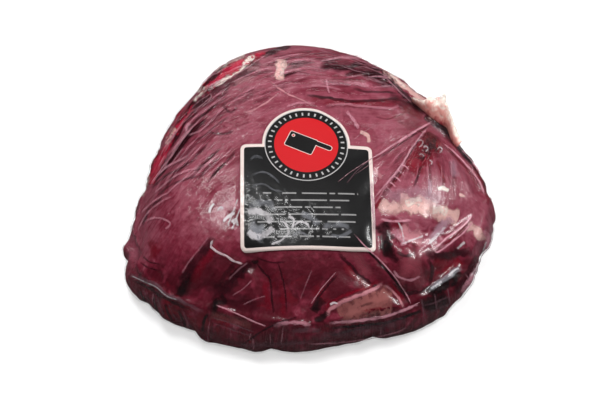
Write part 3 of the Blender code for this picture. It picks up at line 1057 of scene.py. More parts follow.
@dataclass
class Relief:
    """Height of the folds and wrinkles that film and meat share, and where each kind of wrinkle is."""

    wrinkle: float = 0.00055
    pleat: float = 0.0010
    rim_bend: float = 0.0005
    facet: float = 0.009
    facet_height: float = 0.0012
    facet_border: float = 0.4
    crease_depth: float = 0.4
    ridge_height: float = 0.45
    widening: float = 1.4

    fullness: tuple = (
        Mark("right_side", 0.024, 0.0046, ((490, 190), (492, 225), (486, 256))),
        Mark("right_front", 0.020, 0.0040, ((456, 306), (425, 325), (400, 334), (372, 338))),
        Mark("front", 0.020, 0.0020, ((376, 337), (340, 345), (310, 349), (270, 350))),
        Mark("left_front", 0.022, 0.0068, ((272, 350), (240, 349), (218, 343), (196, 334))),
        Mark("left_corner_side", 0.014, 0.0046, ((148, 305), (133, 290), (126, 276), (125, 264))),
        Mark("left_bulge", 0.011, -0.0062, ((126, 257), (127, 249), (129, 240))),
        Mark("upper_left_rim", 0.014, 0.0030, ((198, 88), (212, 74), (230, 62))),
        Mark("upper_right_rim", 0.014, 0.0028, ((370, 60), (396, 75), (416, 90))),
        Mark("left_side", 0.022, -0.0038, ((127, 256), (133, 222), (142, 194))),
        Mark("upper_left_side", 0.016, 0.0024, ((144, 188), (150, 171), (157, 155))),
    )

    cuts: tuple = (
        Mark("b_crease", 0.0016, 0.0014, ((336, 254), (348, 264), (360, 276), (372, 284), (388, 292), (402, 304))),
        Mark("corner_crease", 0.0013, 0.0009, ((356, 240), (371, 255), (389, 272), (402, 288), (409, 303))),
        Mark("g3", 0.0016, 0.0011, ((438, 138), (429, 155), (420, 171), (413, 190))),
        Mark("cross_band", 0.0016, 0.0011, ((300, 97), (325, 99), (348, 101), (373, 101), (400, 99))),
        Mark("lens", 0.0024, 0.0012, ((320, 65), (335, 67), (348, 67), (360, 64))),
        Mark("fold_top", 0.0018, 0.0008, ((345, 74), (360, 72), (375, 74), (391, 80))),
        Mark("back_fold", 0.0022, 0.0016, ((366, 60), (387, 75), (397, 87), (406, 97), (418, 107), (430, 115))),
        Mark("left_fold", 0.0018, 0.0014, ((212, 236), (204, 250), (193, 265), (185, 280), (179, 296))),
        Mark("left_fold_2", 0.0018, 0.0014, ((256, 263), (243, 271), (231, 282), (220, 296))),
        Mark("front_line", 0.0015, 0.0009, ((255, 261), (262, 271), (270, 280), (272, 298), (274, 315))),
        Mark("front_line_2", 0.0014, 0.0006, ((278, 263), (282, 277), (285, 290), (287, 315))),
        Mark("short_valley", 0.0016, 0.0009, ((437, 162), (441, 170), (445, 183))),
        Mark("rim_fold", 0.0020, 0.0018, ((262, 56), (244, 66), (226, 76), (208, 88), (198, 97), (184, 118), (172, 134))),
        Mark("lobe_rim", 0.0016, 0.0012, ((391, 284), (398, 290), (405, 292), (420, 292), (428, 286))),
        Mark("e_crease", 0.0016, 0.0012, ((334, 303), (353, 293), (370, 286), (382, 280))),
    )
    ridges: tuple = (
        Mark("g2", 0.0013, 0.0010, ((427, 128), (418, 139), (410, 150), (406, 160), (395, 175), (374, 199))),
        Mark("g1", 0.0013, 0.0008, ((433, 121), (414, 133), (395, 145), (374, 158))),
        Mark("edge_lines", 0.0014, 0.0010, ((447, 142), (459, 155), (472, 170), (482, 182))),
        Mark("double_fold", 0.0013, 0.0012, ((472, 215), (462, 227), (447, 239), (434, 250))),
        Mark("wiggle", 0.0012, 0.0010, ((212, 240), (213, 248), (218, 254), (228, 257), (236, 262), (243, 265))),
        Mark("crown_line", 0.0018, 0.0016, ((270, 53), (245, 69), (228, 80), (210, 91), (203, 99), (190, 116), (178, 134))),
        Mark("cross_ridge", 0.0015, 0.0008, ((322, 106), (345, 104), (360, 106), (391, 108))),
        Mark("e_ridge", 0.0015, 0.0012, ((326, 317), (334, 307), (353, 298), (370, 291), (384, 284))),
        Mark("lip", 0.0015, 0.0010, ((326, 324), (353, 322), (382, 319), (401, 313), (420, 305))),
        Mark("window", 0.0022, 0.0012, ((430, 289), (440, 281), (453, 272), (462, 266))),
        Mark("shoulder", 0.0016, 0.0014, (
            (127, 274), (141, 279), (156, 284), (166, 294), (176, 298), (193, 309), (207, 313), (217, 306),
            (232, 313), (255, 323), (266, 328))),
    )
    crumpled: tuple = (
        Mark("label_left", 0.012, 1.2, ((252, 205), (262, 222), (268, 238))),
        Mark("label_low", 0.010, 1.0, ((286, 200), (310, 222), (334, 236))),
        Mark("label_border", 0.006, 1.2, ((236, 206), (240, 220), (236, 234))),
        Mark("right_facets", 0.011, 1.0, ((384, 215), (404, 232), (432, 236), (446, 232))),
        Mark("corner_window", 0.007, 1.0, ((430, 290), (446, 280), (458, 270))),
        Mark("left_corner", 0.010, 0.7, ((140, 262), (160, 285), (182, 300))),
        Mark("fold_strips", 0.010, 0.7, ((208, 312), (230, 322), (256, 330))),
        Mark("left_wall", 0.012, 0.8, ((140, 292), (170, 314), (206, 332), (240, 342))),
        Mark("right_wall", 0.012, 0.8, ((300, 338), (350, 334), (400, 322), (440, 306))),
        Mark("front_slope", 0.018, 0.45, ((196, 268), (240, 288), (290, 300), (336, 288))),
        Mark("right_slope", 0.014, 0.45, ((430, 256), (456, 262), (474, 240))),
    )

    def zones(self, surface: Surface) -> dict:
        """Strength of each wrinkled zone at each point.

        Args:
            surface: The pack's surface.

        Returns:
            The strengths by zone.
        """
        x, y, z = surface.points.T
        upright = 1.0 - np.abs(surface.normals[:, 2])

        def blob(middle: tuple, reach: tuple) -> np.ndarray:
            """Soft oval in plan, 1 at its middle."""
            return np.exp(-(((x - middle[0]) / reach[0]) ** 2 + ((y - middle[1]) / reach[1]) ** 2))

        fan = 1.3 * blob((-0.075, 0.025), (0.040, 0.050)) + blob((-0.105, -0.03), (0.02, 0.03))
        return {
            Zone.FAN: np.clip(fan + 0.25 * blob((0.0, -0.01), (0.07, 0.06)), 0, 1),
            Zone.TOP: np.clip(1.3 * blob((0.025, 0.070), (0.055, 0.032)), 0, 1),
            Zone.RAYS: np.clip(0.65 * blob((0.080, 0.002), (0.034, 0.036)), 0, 1),
            Zone.WALL: smooth_step(0.35, 0.85, upright) * smooth_step(0.002, 0.010, z) * smooth_step(0.05, 0.034, z),
            Zone.CRUMPLE: np.clip(marks_field(surface, self.crumpled), 0, 1),
        }

    def facets(self, points: np.ndarray) -> np.ndarray:
        """Height of crumpled facets: each cell is a little plane with a tilt of its own, level at its border."""
        heights = []
        for point in points:
            spot = Vector(point) / self.facet
            distances, centres = noise.voronoi(spot)
            tilt = noise.cell_vector(centres[0] * 7.3)
            off_border = min(1.0, (distances[1] - distances[0]) / self.facet_border)
            heights.append((spot - centres[0]).dot(tilt) * off_border)
        return np.array(heights)

    def build(self, surface: Surface, label: Label) -> tuple[np.ndarray, dict, np.ndarray]:
        """Works out the relief.

        Args:
            surface: The pack's surface.
            label: The label, over which the film lies flatter.

        Returns:
            The height at each point, the zones, and how far each point is over the label from 0 to 1.
        """
        points = surface.points
        zones = self.zones(surface)
        over_label = smooth_step(-0.0030, 0.0005, label.depth_inside(points)) * (surface.normals[:, 2] > 0.5)
        arcs = wheel(points, np.array(ARC_MIDDLE), 5.0, 0.0055)
        rays = wheel(points, np.array(surface.seen(*KNOT_SEEN)), 7.0, 0.045)
        folds = points / np.array([0.030, 0.0075, 0.02])
        unit = points[:, :2] / np.maximum(np.hypot(*points[:, :2].T), 1e-6)[:, None]
        pleats = np.column_stack([unit * 14.0, points[:, 2] / 0.030])
        bends = np.column_stack([unit * 4.0, points[:, 2] / 0.060])
        upright = 1.0 - np.abs(surface.normals[:, 2])
        height = self.wrinkle * zones[Zone.FAN] * (ridged(arcs, 2.0) ** 2 + 0.6 * rough(arcs * 2.0, 5.0))
        height += self.wrinkle * zones[Zone.RAYS] * (ridged(rays, 7.0) ** 2)
        height += 1.6 * self.wrinkle * zones[Zone.TOP] * ridged(folds, 3.0) ** 2
        height += self.pleat * zones[Zone.WALL] * (ridged(pleats, 1.0) - 0.4 + 0.5 * rough(pleats * 2.3, 8.0))
        height += self.rim_bend * smooth_step(0.3, 0.9, upright) * (ridged(bends, 4.0) - 0.45)
        height += 0.00012 * rough(points / 0.004, 11.0)
        height *= 1.0 - 0.85 * over_label
        height += self.facet_height * zones[Zone.CRUMPLE] * self.facets(points) * (1.0 - 0.75 * over_label)
        height -= self.crease_depth * marks_field(surface, self.cuts, self.widening)
        height += self.ridge_height * marks_field(surface, self.ridges, self.widening)
        height += marks_field(surface, self.fullness)
        return height, zones, over_label


@dataclass
class Meat:
    """The muscle under the film, with its broad colour changes and painted light and shade."""

    inset: float = 0.0006
    lump: float = 0.00035

    # Marks that paint light and shade along with the meat's own colour changes: darker in the hollows, under the knot
    # and on the front, paler on the lobes.
    tones_and_shading: tuple = (
        Mark("left", 0.016, -0.22, ((160, 180), (164, 210), (160, 236))),
        Mark("upper_left", 0.018, -0.10, ((190, 140), (210, 130))),
        Mark("mid_left", 0.016, -0.10, ((206, 186), (212, 202), (200, 222))),
        Mark("low_left_2", 0.014, 0.25, ((166, 258), (178, 266))),
        Mark("right_top", 0.012, -0.60, ((424, 146), (434, 158))),
        Mark("top_right_dark", 0.014, -0.30, ((330, 66), (360, 70), (392, 86))),
        Mark("knot_side", 0.012, -0.30, ((396, 112), (414, 120), (426, 128))),
        Mark("right_lobe", 0.016, 0.15, ((400, 170), (416, 184))),
        Mark("round_lobe", 0.012, 0.45, ((403, 268), (414, 274))),
        Mark("beside_lobe", 0.010, 0.25, ((340, 256), (356, 256), (366, 268))),
        Mark("front_right", 0.016, -0.20, ((330, 272), (350, 286))),
        Mark("hollow", 0.012, -0.35, ((430, 256), (456, 256), (470, 254))),
        Mark("corner", 0.016, -0.30, ((430, 304), (444, 300))),
        Mark("top_right", 0.012, -0.12, ((392, 100), (404, 112))),
    )
    # Patches of painted sheen, pale reflected light on the right lobe, the facets, the right edge and the upper crown.
    painted_sheens: tuple = (
        Mark("right_mid", 0.015, 0.15, ((418, 190), (436, 202), (446, 206))),
        Mark("facets", 0.010, 0.5, ((398, 234), (412, 232))),
        Mark("edge", 0.010, 0.4, ((462, 180), (470, 200))),
        Mark("upper", 0.020, 0.25, ((220, 110), (260, 96), (300, 78), (330, 76))),
        Mark("lobe", 0.014, 0.25, ((404, 166), (414, 176))),
    )
    bloods: tuple = (
        Mark("left_edge", 0.010, 0.5, ((150, 244), (156, 256))),
        Mark("left_rim", 0.008, 0.8, ((196, 98), (176, 124), (160, 152), (150, 186))),
        Mark("top_rim", 0.008, 0.8, ((262, 52), (236, 66), (206, 84))),
        Mark("low_rim", 0.010, 0.4, ((140, 290), (190, 312), (240, 330))),
        Mark("right_rim", 0.008, 0.5, ((476, 166), (486, 190), (488, 210))),
        Mark("corner", 0.012, 0.5, ((428, 262), (450, 262), (466, 268))),
        Mark("front", 0.020, 0.3, ((250, 290), (300, 296), (330, 290))),
        Mark("right_top", 0.009, 0.7, ((432, 140), (422, 158), (414, 172))),
    )

    def build(self, surface: Surface, relief: tuple, finish: bpy.types.Material) -> bpy.types.Object:
        """Makes the meat from the pack's surface.

        Args:
            surface: The pack's surface.
            relief: Height, zones and share over the label at each point.
            finish: The meat's material.

        Returns:
            The meat.
        """
        height, zones, over_label = relief
        points = surface.points
        lumps = rough(points / 0.011, 4.0) + 0.5 * rough(points / 0.0045, 9.0)
        offset = height * (1.0 - 0.5 * over_label) - self.inset + self.lump * (lumps - 1.0) * (1.0 - over_label)
        mesh = moved_copy(surface, "meat", offset)
        # Painted shade: darker towards the front slope and a little lower down, as the lights stand behind and above.
        tone_and_shading = 0.80 - 0.78 * smooth_step(-0.050, -0.078, points[:, 1]) - 0.08 * smooth_step(0.040, 0.015, points[:, 2])
        set_mask(mesh, "tone_and_shading", tone_and_shading + marks_field(surface, self.tones_and_shading))
        set_mask(mesh, "painted_sheen", np.clip(marks_field(surface, self.painted_sheens), 0.0, 1.2))
        set_mask(mesh, "blood", np.clip(marks_field(surface, self.bloods), 0.0, 1.2))
        for zone in Zone:
            set_mask(mesh, zone.value, zones[zone])
        return add_piece("meat", mesh, finish)


@dataclass
class Film:
    """The shrink film over meat and label."""

    gap: float = 0.0003
    label_lift: float = 0.0007
    milky: tuple = (
        Mark("right_film", 0.0030, 0.5, ((484, 228), (487, 247), (479, 267), (470, 282), (459, 298))),
        Mark("knot_film", 0.0024, 0.2, ((431, 125), (440, 131), (446, 134))),
    )

    def build(self, surface: Surface, relief: tuple, finish: bpy.types.Material) -> bpy.types.Object:
        """Makes the film from the pack's surface.

        Args:
            surface: The pack's surface.
            relief: Height, zones and share over the label at each point.
            finish: The film's material.

        Returns:
            The film.
        """
        height, zones, over_label = relief
        mesh = moved_copy(surface, "film", height + self.gap + self.label_lift * over_label)
        for zone in Zone:
            set_mask(mesh, zone.value, zones[zone] * (1.0 if zone is Zone.CRUMPLE else 1.0 - 0.9 * over_label))
        set_mask(mesh, "milk", np.clip(0.02 * zones[Zone.WALL] + marks_field(surface, self.milky), 0.0, 0.6))
        return add_piece("film", mesh, finish)


@dataclass(frozen=True)
class Pigment:
    """Colour of a stroke, whether it lies on the film or on the meat, how much it covers, and how soft it is."""

    colour: tuple
    on_film: bool
    cover: float
    soft: float


class Paint(Enum):
    """What the strokes are made of: the meat's, fat's and film's own colours, and paints for painted light and shade.
    """

    CRIMSON = Pigment(linear(186, 10, 56), False, 0.95, 0.3)
    BLOOD = Pigment(linear(136, 8, 36), False, 0.85, 0.9)
    SHADE = Pigment(linear(84, 10, 30), False, 0.60, 1.0)
    # Painted shade in folds, creases, hollows and under lips, and the dark purge that pools there.
    DARK = Pigment(linear(54, 5, 19), False, 0.92, 0.8)
    # The deepest painted shade, in pockets, gaps and under lips, and near-black purge in the pools.
    BLACK = Pigment(linear(20, 4, 8), False, 0.95, 0.6)
    FAT = Pigment(linear(240, 190, 184), False, 0.92, 0.35)
    CREAM = Pigment(linear(255, 240, 230), False, 1.00, 0.2)
    PINK = Pigment(linear(208, 136, 146), False, 0.80, 0.7)
    TAN = Pigment(linear(166, 98, 96), False, 0.90, 0.3)
    ROSE = Pigment(linear(150, 66, 80), False, 0.75, 0.9)
    # Pale film lines: film drawn tight and pale, with a painted highlight along them.
    PALE = Pigment(linear(220, 154, 170), True, 0.55, 0.5)
    GLINT = Pigment(linear(246, 240, 244), True, 0.66, 0.3)
    # Painted sheen: the film's soft pale reflection of the lights.
    SHEEN = Pigment(linear(190, 146, 162), True, 0.50, 0.9)
    # Greyish film on pleats, the bead and crumples: its own milkiness with a painted sheen.
    GREY = Pigment(linear(118, 84, 94), True, 0.45, 0.7)
    # Painted shadow on the film, from the knot down the right edge.
    SMOKE = Pigment(linear(44, 38, 42), True, 0.80, 0.4)
    # Painted reflection: grey-white light that the crumpled film mirrors over the label and in the window by the right
    # corner.
    BLUE = Pigment(linear(156, 158, 166), True, 0.40, 0.7)


@dataclass(frozen=True)
class Stroke:
    """A stroke on the pack: its width in pixels and its route in the photograph's frame."""

    name: str
    paint: Paint
    width: float
    seen: tuple
    cover: float = 1.0
    end: float = 0.0


RIM_STROKES = (
    # Painted shade in the rim's folds: rim_shade, top_dark and finger. The crimson and cream strokes are the meat's and
    # fat's own colours.
    Stroke("rim_shade", Paint.DARK, 7.0, ((206, 97), (220, 89), (234, 81), (248, 71), (262, 61)), 0.6),
    Stroke("crimson", Paint.CRIMSON, 13.0, ((198, 91), (208, 82), (222, 73), (238, 63), (250, 56)), 1.3, 9.0),
    Stroke("far_fat", Paint.CREAM, 4.0, ((214, 72), (224, 65), (234, 59), (246, 54)), 1.0, 3.0),
    Stroke("inner_fat", Paint.CREAM, 4.0, ((197, 93), (210, 87), (224, 80), (238, 70), (252, 61)), 1.0, 3.0),
    Stroke("rim_white", Paint.CREAM, 5.0, ((244, 66), (249, 60), (254, 54)), 0.9),
    Stroke("corner_fat", Paint.CREAM, 9.0, ((190, 99), (196, 92), (203, 86)), 1.2),
    Stroke("top_crimson", Paint.CRIMSON, 6.0, ((250, 57), (258, 53), (266, 52)), 1.1),
    Stroke("top_dark", Paint.DARK, 4.0, ((262, 56), (270, 53), (280, 49), (292, 46))),
    Stroke("left_crimson", Paint.CRIMSON, 9.0, ((193, 101), (185, 112), (177, 124), (170, 138), (163, 151)), 1.3, 8.0),
    Stroke("left_crimson_low", Paint.CRIMSON, 8.0, ((166, 146), (160, 159), (155, 171), (150, 186)), 1.2, 5.0),
    Stroke("left_cream", Paint.FAT, 4.0, ((175, 127), (170, 136), (166, 145)), 0.9),
    Stroke("finger", Paint.DARK, 8.0, ((210, 95), (203, 101), (194, 109), (185, 116), (177, 124)), 1.1, 4.0),
    Stroke("left_pale", Paint.CREAM, 2.0, ((150, 176), (146, 186), (142, 197)), 0.5),
)
LEFT_STROKES = (
    # Painted light and shade on the left half's wrinkles: the PALE lines are painted highlights on their crests, the
    # DARK d1 to d7 and the hairs their shade; the glints and the wiggle are painted highlights.
    Stroke("patch", Paint.PALE, 2.4, ((191, 123), (187, 127), (187, 134)), 1.2),
    Stroke("w1", Paint.PALE, 1.4, ((187, 136), (201, 130), (212, 120), (224, 107)), 0.7),
    Stroke("w2", Paint.PALE, 1.6, ((150, 186), (159, 174), (170, 165), (184, 158), (198, 145)), 0.8),
    Stroke("w3", Paint.PALE, 1.5, ((153, 195), (166, 183), (181, 173), (197, 168), (207, 164)), 0.7),
    Stroke("w4", Paint.PALE, 1.4, ((166, 195), (176, 185), (187, 177), (199, 170)), 0.6),
    Stroke("w5", Paint.PALE, 1.3, ((201, 177), (212, 166), (224, 156), (233, 148)), 0.6),
    Stroke("w6", Paint.PALE, 1.2, ((216, 177), (228, 164), (236, 156)), 0.6),
    Stroke("w7", Paint.PALE, 1.3, ((141, 213), (154, 201), (168, 193)), 0.8),
    Stroke("w8", Paint.PALE, 1.3, ((137, 232), (146, 215), (158, 204), (172, 196)), 0.7),
    Stroke("swirl", Paint.PALE, 1.6, ((144, 222), (153, 218), (164, 219), (170, 224), (165, 230)), 0.7),
    Stroke("d1", Paint.DARK, 2.0, ((151, 190), (164, 177), (179, 169), (194, 160)), 0.6),
    Stroke("d2", Paint.DARK, 2.0, ((206, 184), (218, 170), (229, 159), (236, 150)), 0.5),
    Stroke("d3", Paint.DARK, 2.0, ((206, 132), (222, 134), (234, 131)), 0.5),
    Stroke("d4", Paint.DARK, 2.2, ((222, 104), (230, 112), (238, 107)), 0.45),
    Stroke("d5", Paint.DARK, 1.8, ((153, 200), (168, 187), (184, 180), (200, 176)), 0.5),
    Stroke("d6", Paint.DARK, 1.8, ((190, 142), (204, 136), (216, 126), (230, 116)), 0.45),
    Stroke("d7", Paint.DARK, 2.4, ((142, 226), (150, 208), (162, 198)), 0.5),
    Stroke("dark_patch", Paint.BLOOD, 6.0, ((149, 240), (154, 250), (153, 260)), 0.7),
    Stroke("hair_1", Paint.DARK, 1.2, ((143, 256), (150, 262), (160, 264)), 0.6),
    Stroke("hair_2", Paint.DARK, 1.2, ((140, 262), (149, 268), (158, 270)), 0.6),
    Stroke("pale_mottle", Paint.PINK, 5.0, ((234, 84), (244, 80), (256, 80)), 0.5),
    Stroke("pale_mottle_2", Paint.PINK, 4.0, ((246, 70), (254, 68), (262, 72)), 0.5),
    Stroke("glint_1", Paint.GLINT, 2.2, ((209, 213), (211, 207), (214, 203)), 0.9),
    Stroke("glint_2", Paint.GLINT, 2.0, ((217, 211), (221, 207), (223, 210)), 0.7),
    Stroke("glint_3", Paint.GLINT, 2.4, ((223, 222), (228, 216), (235, 212)), 0.8),
    Stroke("glint_4", Paint.GLINT, 2.0, ((231, 223), (236, 219), (238, 227)), 0.7),
    Stroke("wiggle", Paint.GLINT, 1.6, ((213, 240), (211, 246), (216, 251), (226, 256), (234, 261), (243, 264)), 0.9),
)
TOP_STROKES = (
    # Painted shade in the top's folds: the DARK and BLACK strokes and cross_shade; painted highlights on their crests:
    # the PALE strokes. The fat, tendons and red_line are the meat's own colours.
    Stroke("fat_spot", Paint.FAT, 9.0, ((282, 59), (281, 68), (278, 81)), 1.0, 6.0),
    Stroke("fat_spot_2", Paint.CREAM, 3.0, ((283, 62), (282, 72), (279, 78)), 0.5),
    Stroke("top_right_shade", Paint.DARK, 8.0, ((320, 66), (345, 67), (366, 71), (392, 86)), 0.5),
    Stroke("cross_shade", Paint.BLOOD, 6.0, ((300, 97), (340, 103), (380, 104), (410, 101)), 0.6),
    Stroke("knot_shade", Paint.DARK, 8.0, ((388, 96), (406, 105), (424, 116)), 0.55),
    Stroke("lens", Paint.DARK, 4.0, ((318, 65), (334, 67), (347, 68), (360, 64)), 0.9),
    Stroke("lens_line", Paint.PALE, 1.6, ((320, 61), (339, 58), (364, 58)), 0.8),
    Stroke("fold_dark", Paint.DARK, 2.8, ((343, 75), (360, 72), (376, 74), (392, 80)), 0.8),
    Stroke("fold_pale", Paint.PALE, 3.0, ((346, 82), (358, 84), (370, 86)), 0.7),
    Stroke("fold_pale_2", Paint.PALE, 1.6, ((326, 79), (327, 86), (330, 94)), 0.8),
    Stroke("fold_dark_2", Paint.DARK, 2.0, ((352, 88), (368, 92), (386, 92), (398, 94)), 0.6),
    Stroke("fold_pale_3", Paint.PALE, 1.6, ((300, 88), (320, 86), (342, 90)), 0.5),
    Stroke("back_fold", Paint.DARK, 4.0, ((362, 59), (376, 65), (389, 77), (398, 88), (407, 97), (418, 107), (429, 115))),
    Stroke("back_black", Paint.BLACK, 2.0, ((391, 82), (399, 89), (406, 97)), 0.9),
    Stroke("back_line", Paint.PALE, 1.2, ((382, 73), (392, 84), (402, 94), (414, 105)), 0.7),
    Stroke("far_fat", Paint.FAT, 4.5, ((382, 69), (392, 76), (402, 84), (414, 94), (427, 103)), 0.9),
    Stroke("far_fat_2", Paint.CREAM, 2.0, ((388, 73), (398, 81), (406, 88)), 0.7),
    Stroke("cross_band", Paint.DARK, 2.4, ((304, 95), (329, 98), (348, 101), (374, 101), (402, 98)), 0.9),
    Stroke("cross_pale", Paint.PALE, 2.0, ((322, 106), (345, 104), (360, 106), (391, 108), (399, 105)), 0.6),
    Stroke("crumple", Paint.PALE, 2.6, ((346, 111), (353, 118), (359, 129)), 0.9),
    Stroke("crumple_2", Paint.FAT, 3.0, ((360, 131), (367, 135), (369, 143)), 0.8),
    Stroke("crumple_3", Paint.PALE, 2.0, ((286, 107), (300, 103), (316, 104)), 0.7),
    Stroke("tendon", Paint.PINK, 1.6, ((269, 81), (286, 93), (302, 100), (316, 107)), 1.1),
    Stroke("tendon_2", Paint.PINK, 1.4, ((280, 92), (266, 103), (252, 111), (243, 113)), 1.0),
    Stroke("red_line", Paint.BLOOD, 1.4, ((375, 117), (387, 119), (397, 116), (408, 111)), 0.7),
)
RIGHT_STROKES = (
    # Painted shade in the gathers' valleys: the DARK strokes, g2_shade and g3_deep, which is blood's colour too.
    # Painted highlights: the PALE lines, the curls, streak, streak_2 and label_edge, in pink.
    Stroke("g1", Paint.PALE, 1.5, ((433, 121), (414, 132), (395, 144), (374, 158)), 1.3),
    Stroke("g1_shade", Paint.DARK, 1.4, ((432, 124), (414, 135), (396, 147), (376, 160)), 0.5),
    Stroke("g2", Paint.PALE, 1.5, ((428, 127), (419, 138), (410, 150), (405, 160), (394, 175), (374, 198)), 1.3),
    Stroke("g2_shade", Paint.BLOOD, 2.0, ((430, 130), (421, 142), (414, 153), (408, 163), (398, 178), (384, 194)), 0.9),
    Stroke("g2_dark", Paint.DARK, 1.3, ((424, 131), (415, 145), (409, 155), (399, 168), (388, 181)), 0.8),
    Stroke("g3", Paint.DARK, 2.0, ((434, 136), (426, 156), (419, 172), (414, 188)), 0.9),
    Stroke("g3_deep", Paint.BLOOD, 20.0, ((436, 134), (427, 148), (417, 162), (410, 174)), 1.0, 10.0),
    Stroke("g3_dark", Paint.DARK, 10.0, ((436, 134), (427, 148), (419, 162)), 0.9),
    Stroke("g3_dark_2", Paint.DARK, 6.0, ((424, 134), (432, 142), (440, 152)), 0.8),
    Stroke("curl_1", Paint.GLINT, 1.0, ((417, 142), (420, 140), (423, 142), (421, 146), (418, 147)), 0.6),
    Stroke("curl_2", Paint.GLINT, 0.9, ((423, 148), (426, 146), (428, 149), (425, 152)), 0.6),
    Stroke("curl_3", Paint.GLINT, 0.9, ((437, 150), (440, 147), (442, 150), (439, 153)), 0.6),
    Stroke("curl_4", Paint.GLINT, 0.9, ((419, 155), (422, 154), (424, 157)), 0.5),
    Stroke("curl_5", Paint.GLINT, 0.9, ((429, 160), (432, 162), (431, 165)), 0.5),
    Stroke("rip_1", Paint.PALE, 1.0, ((401, 165), (405, 166), (409, 170)), 1.2),
    Stroke("rip_2", Paint.PALE, 1.0, ((397, 170), (401, 172), (405, 176)), 1.2),
    Stroke("rip_3", Paint.PALE, 1.0, ((393, 176), (397, 178), (401, 182)), 1.2),
    Stroke("rip_4", Paint.PALE, 1.0, ((389, 182), (393, 184), (396, 188)), 1.1),
    Stroke("rip_5", Paint.PALE, 1.0, ((385, 187), (389, 189), (392, 193)), 1.0),
    Stroke("valley", Paint.BLOOD, 2.2, ((436, 160), (441, 170), (445, 184)), 0.9),
    Stroke("streak", Paint.SHEEN, 3.0, ((429, 178), (430, 188), (429, 197)), 1.2),
    Stroke("streak_2", Paint.SHEEN, 6.0, ((450, 160), (454, 168), (456, 178)), 0.7),
    Stroke("white_spot", Paint.CREAM, 3.0, ((437, 189), (442, 188), (449, 191)), 0.8),
    Stroke("white_spot_2", Paint.FAT, 2.4, ((459, 194), (465, 197)), 0.9),
    Stroke("edge_1", Paint.PALE, 1.2, ((443, 143), (456, 154), (469, 168), (479, 181), (485, 195)), 1.4),
    Stroke("edge_2", Paint.PALE, 1.0, ((452, 140), (462, 150), (473, 163), (482, 176)), 1.2),
    Stroke("edge_3", Paint.BLOOD, 1.6, ((446, 148), (458, 160), (470, 174), (478, 188)), 0.7),
    Stroke("knot_dark", Paint.DARK, 5.0, ((424, 116), (432, 121), (441, 127)), 1.0),
    Stroke("knot_fat", Paint.FAT, 2.6, ((428, 118), (434, 119), (440, 122)), 0.8),
    # This stroke is a painted shadow on the film, from the knot down the right edge.
    Stroke("smoke", Paint.SMOKE, 5.0, ((434, 122), (449, 133), (458, 144), (466, 154), (474, 164)), 1.2, 3.0),
    Stroke("smoke_line", Paint.GREY, 1.2, ((446, 134), (456, 145), (465, 157)), 1.0),
    Stroke("edge_red", Paint.BLOOD, 3.5, ((474, 164), (481, 178), (486, 192), (489, 206)), 0.7),
    Stroke("label_edge", Paint.PINK, 4.0, ((374, 166), (377, 173), (382, 179)), 0.8),
    Stroke("under_knot", Paint.BLOOD, 5.0, ((400, 107), (412, 112), (424, 118)), 0.5),
)
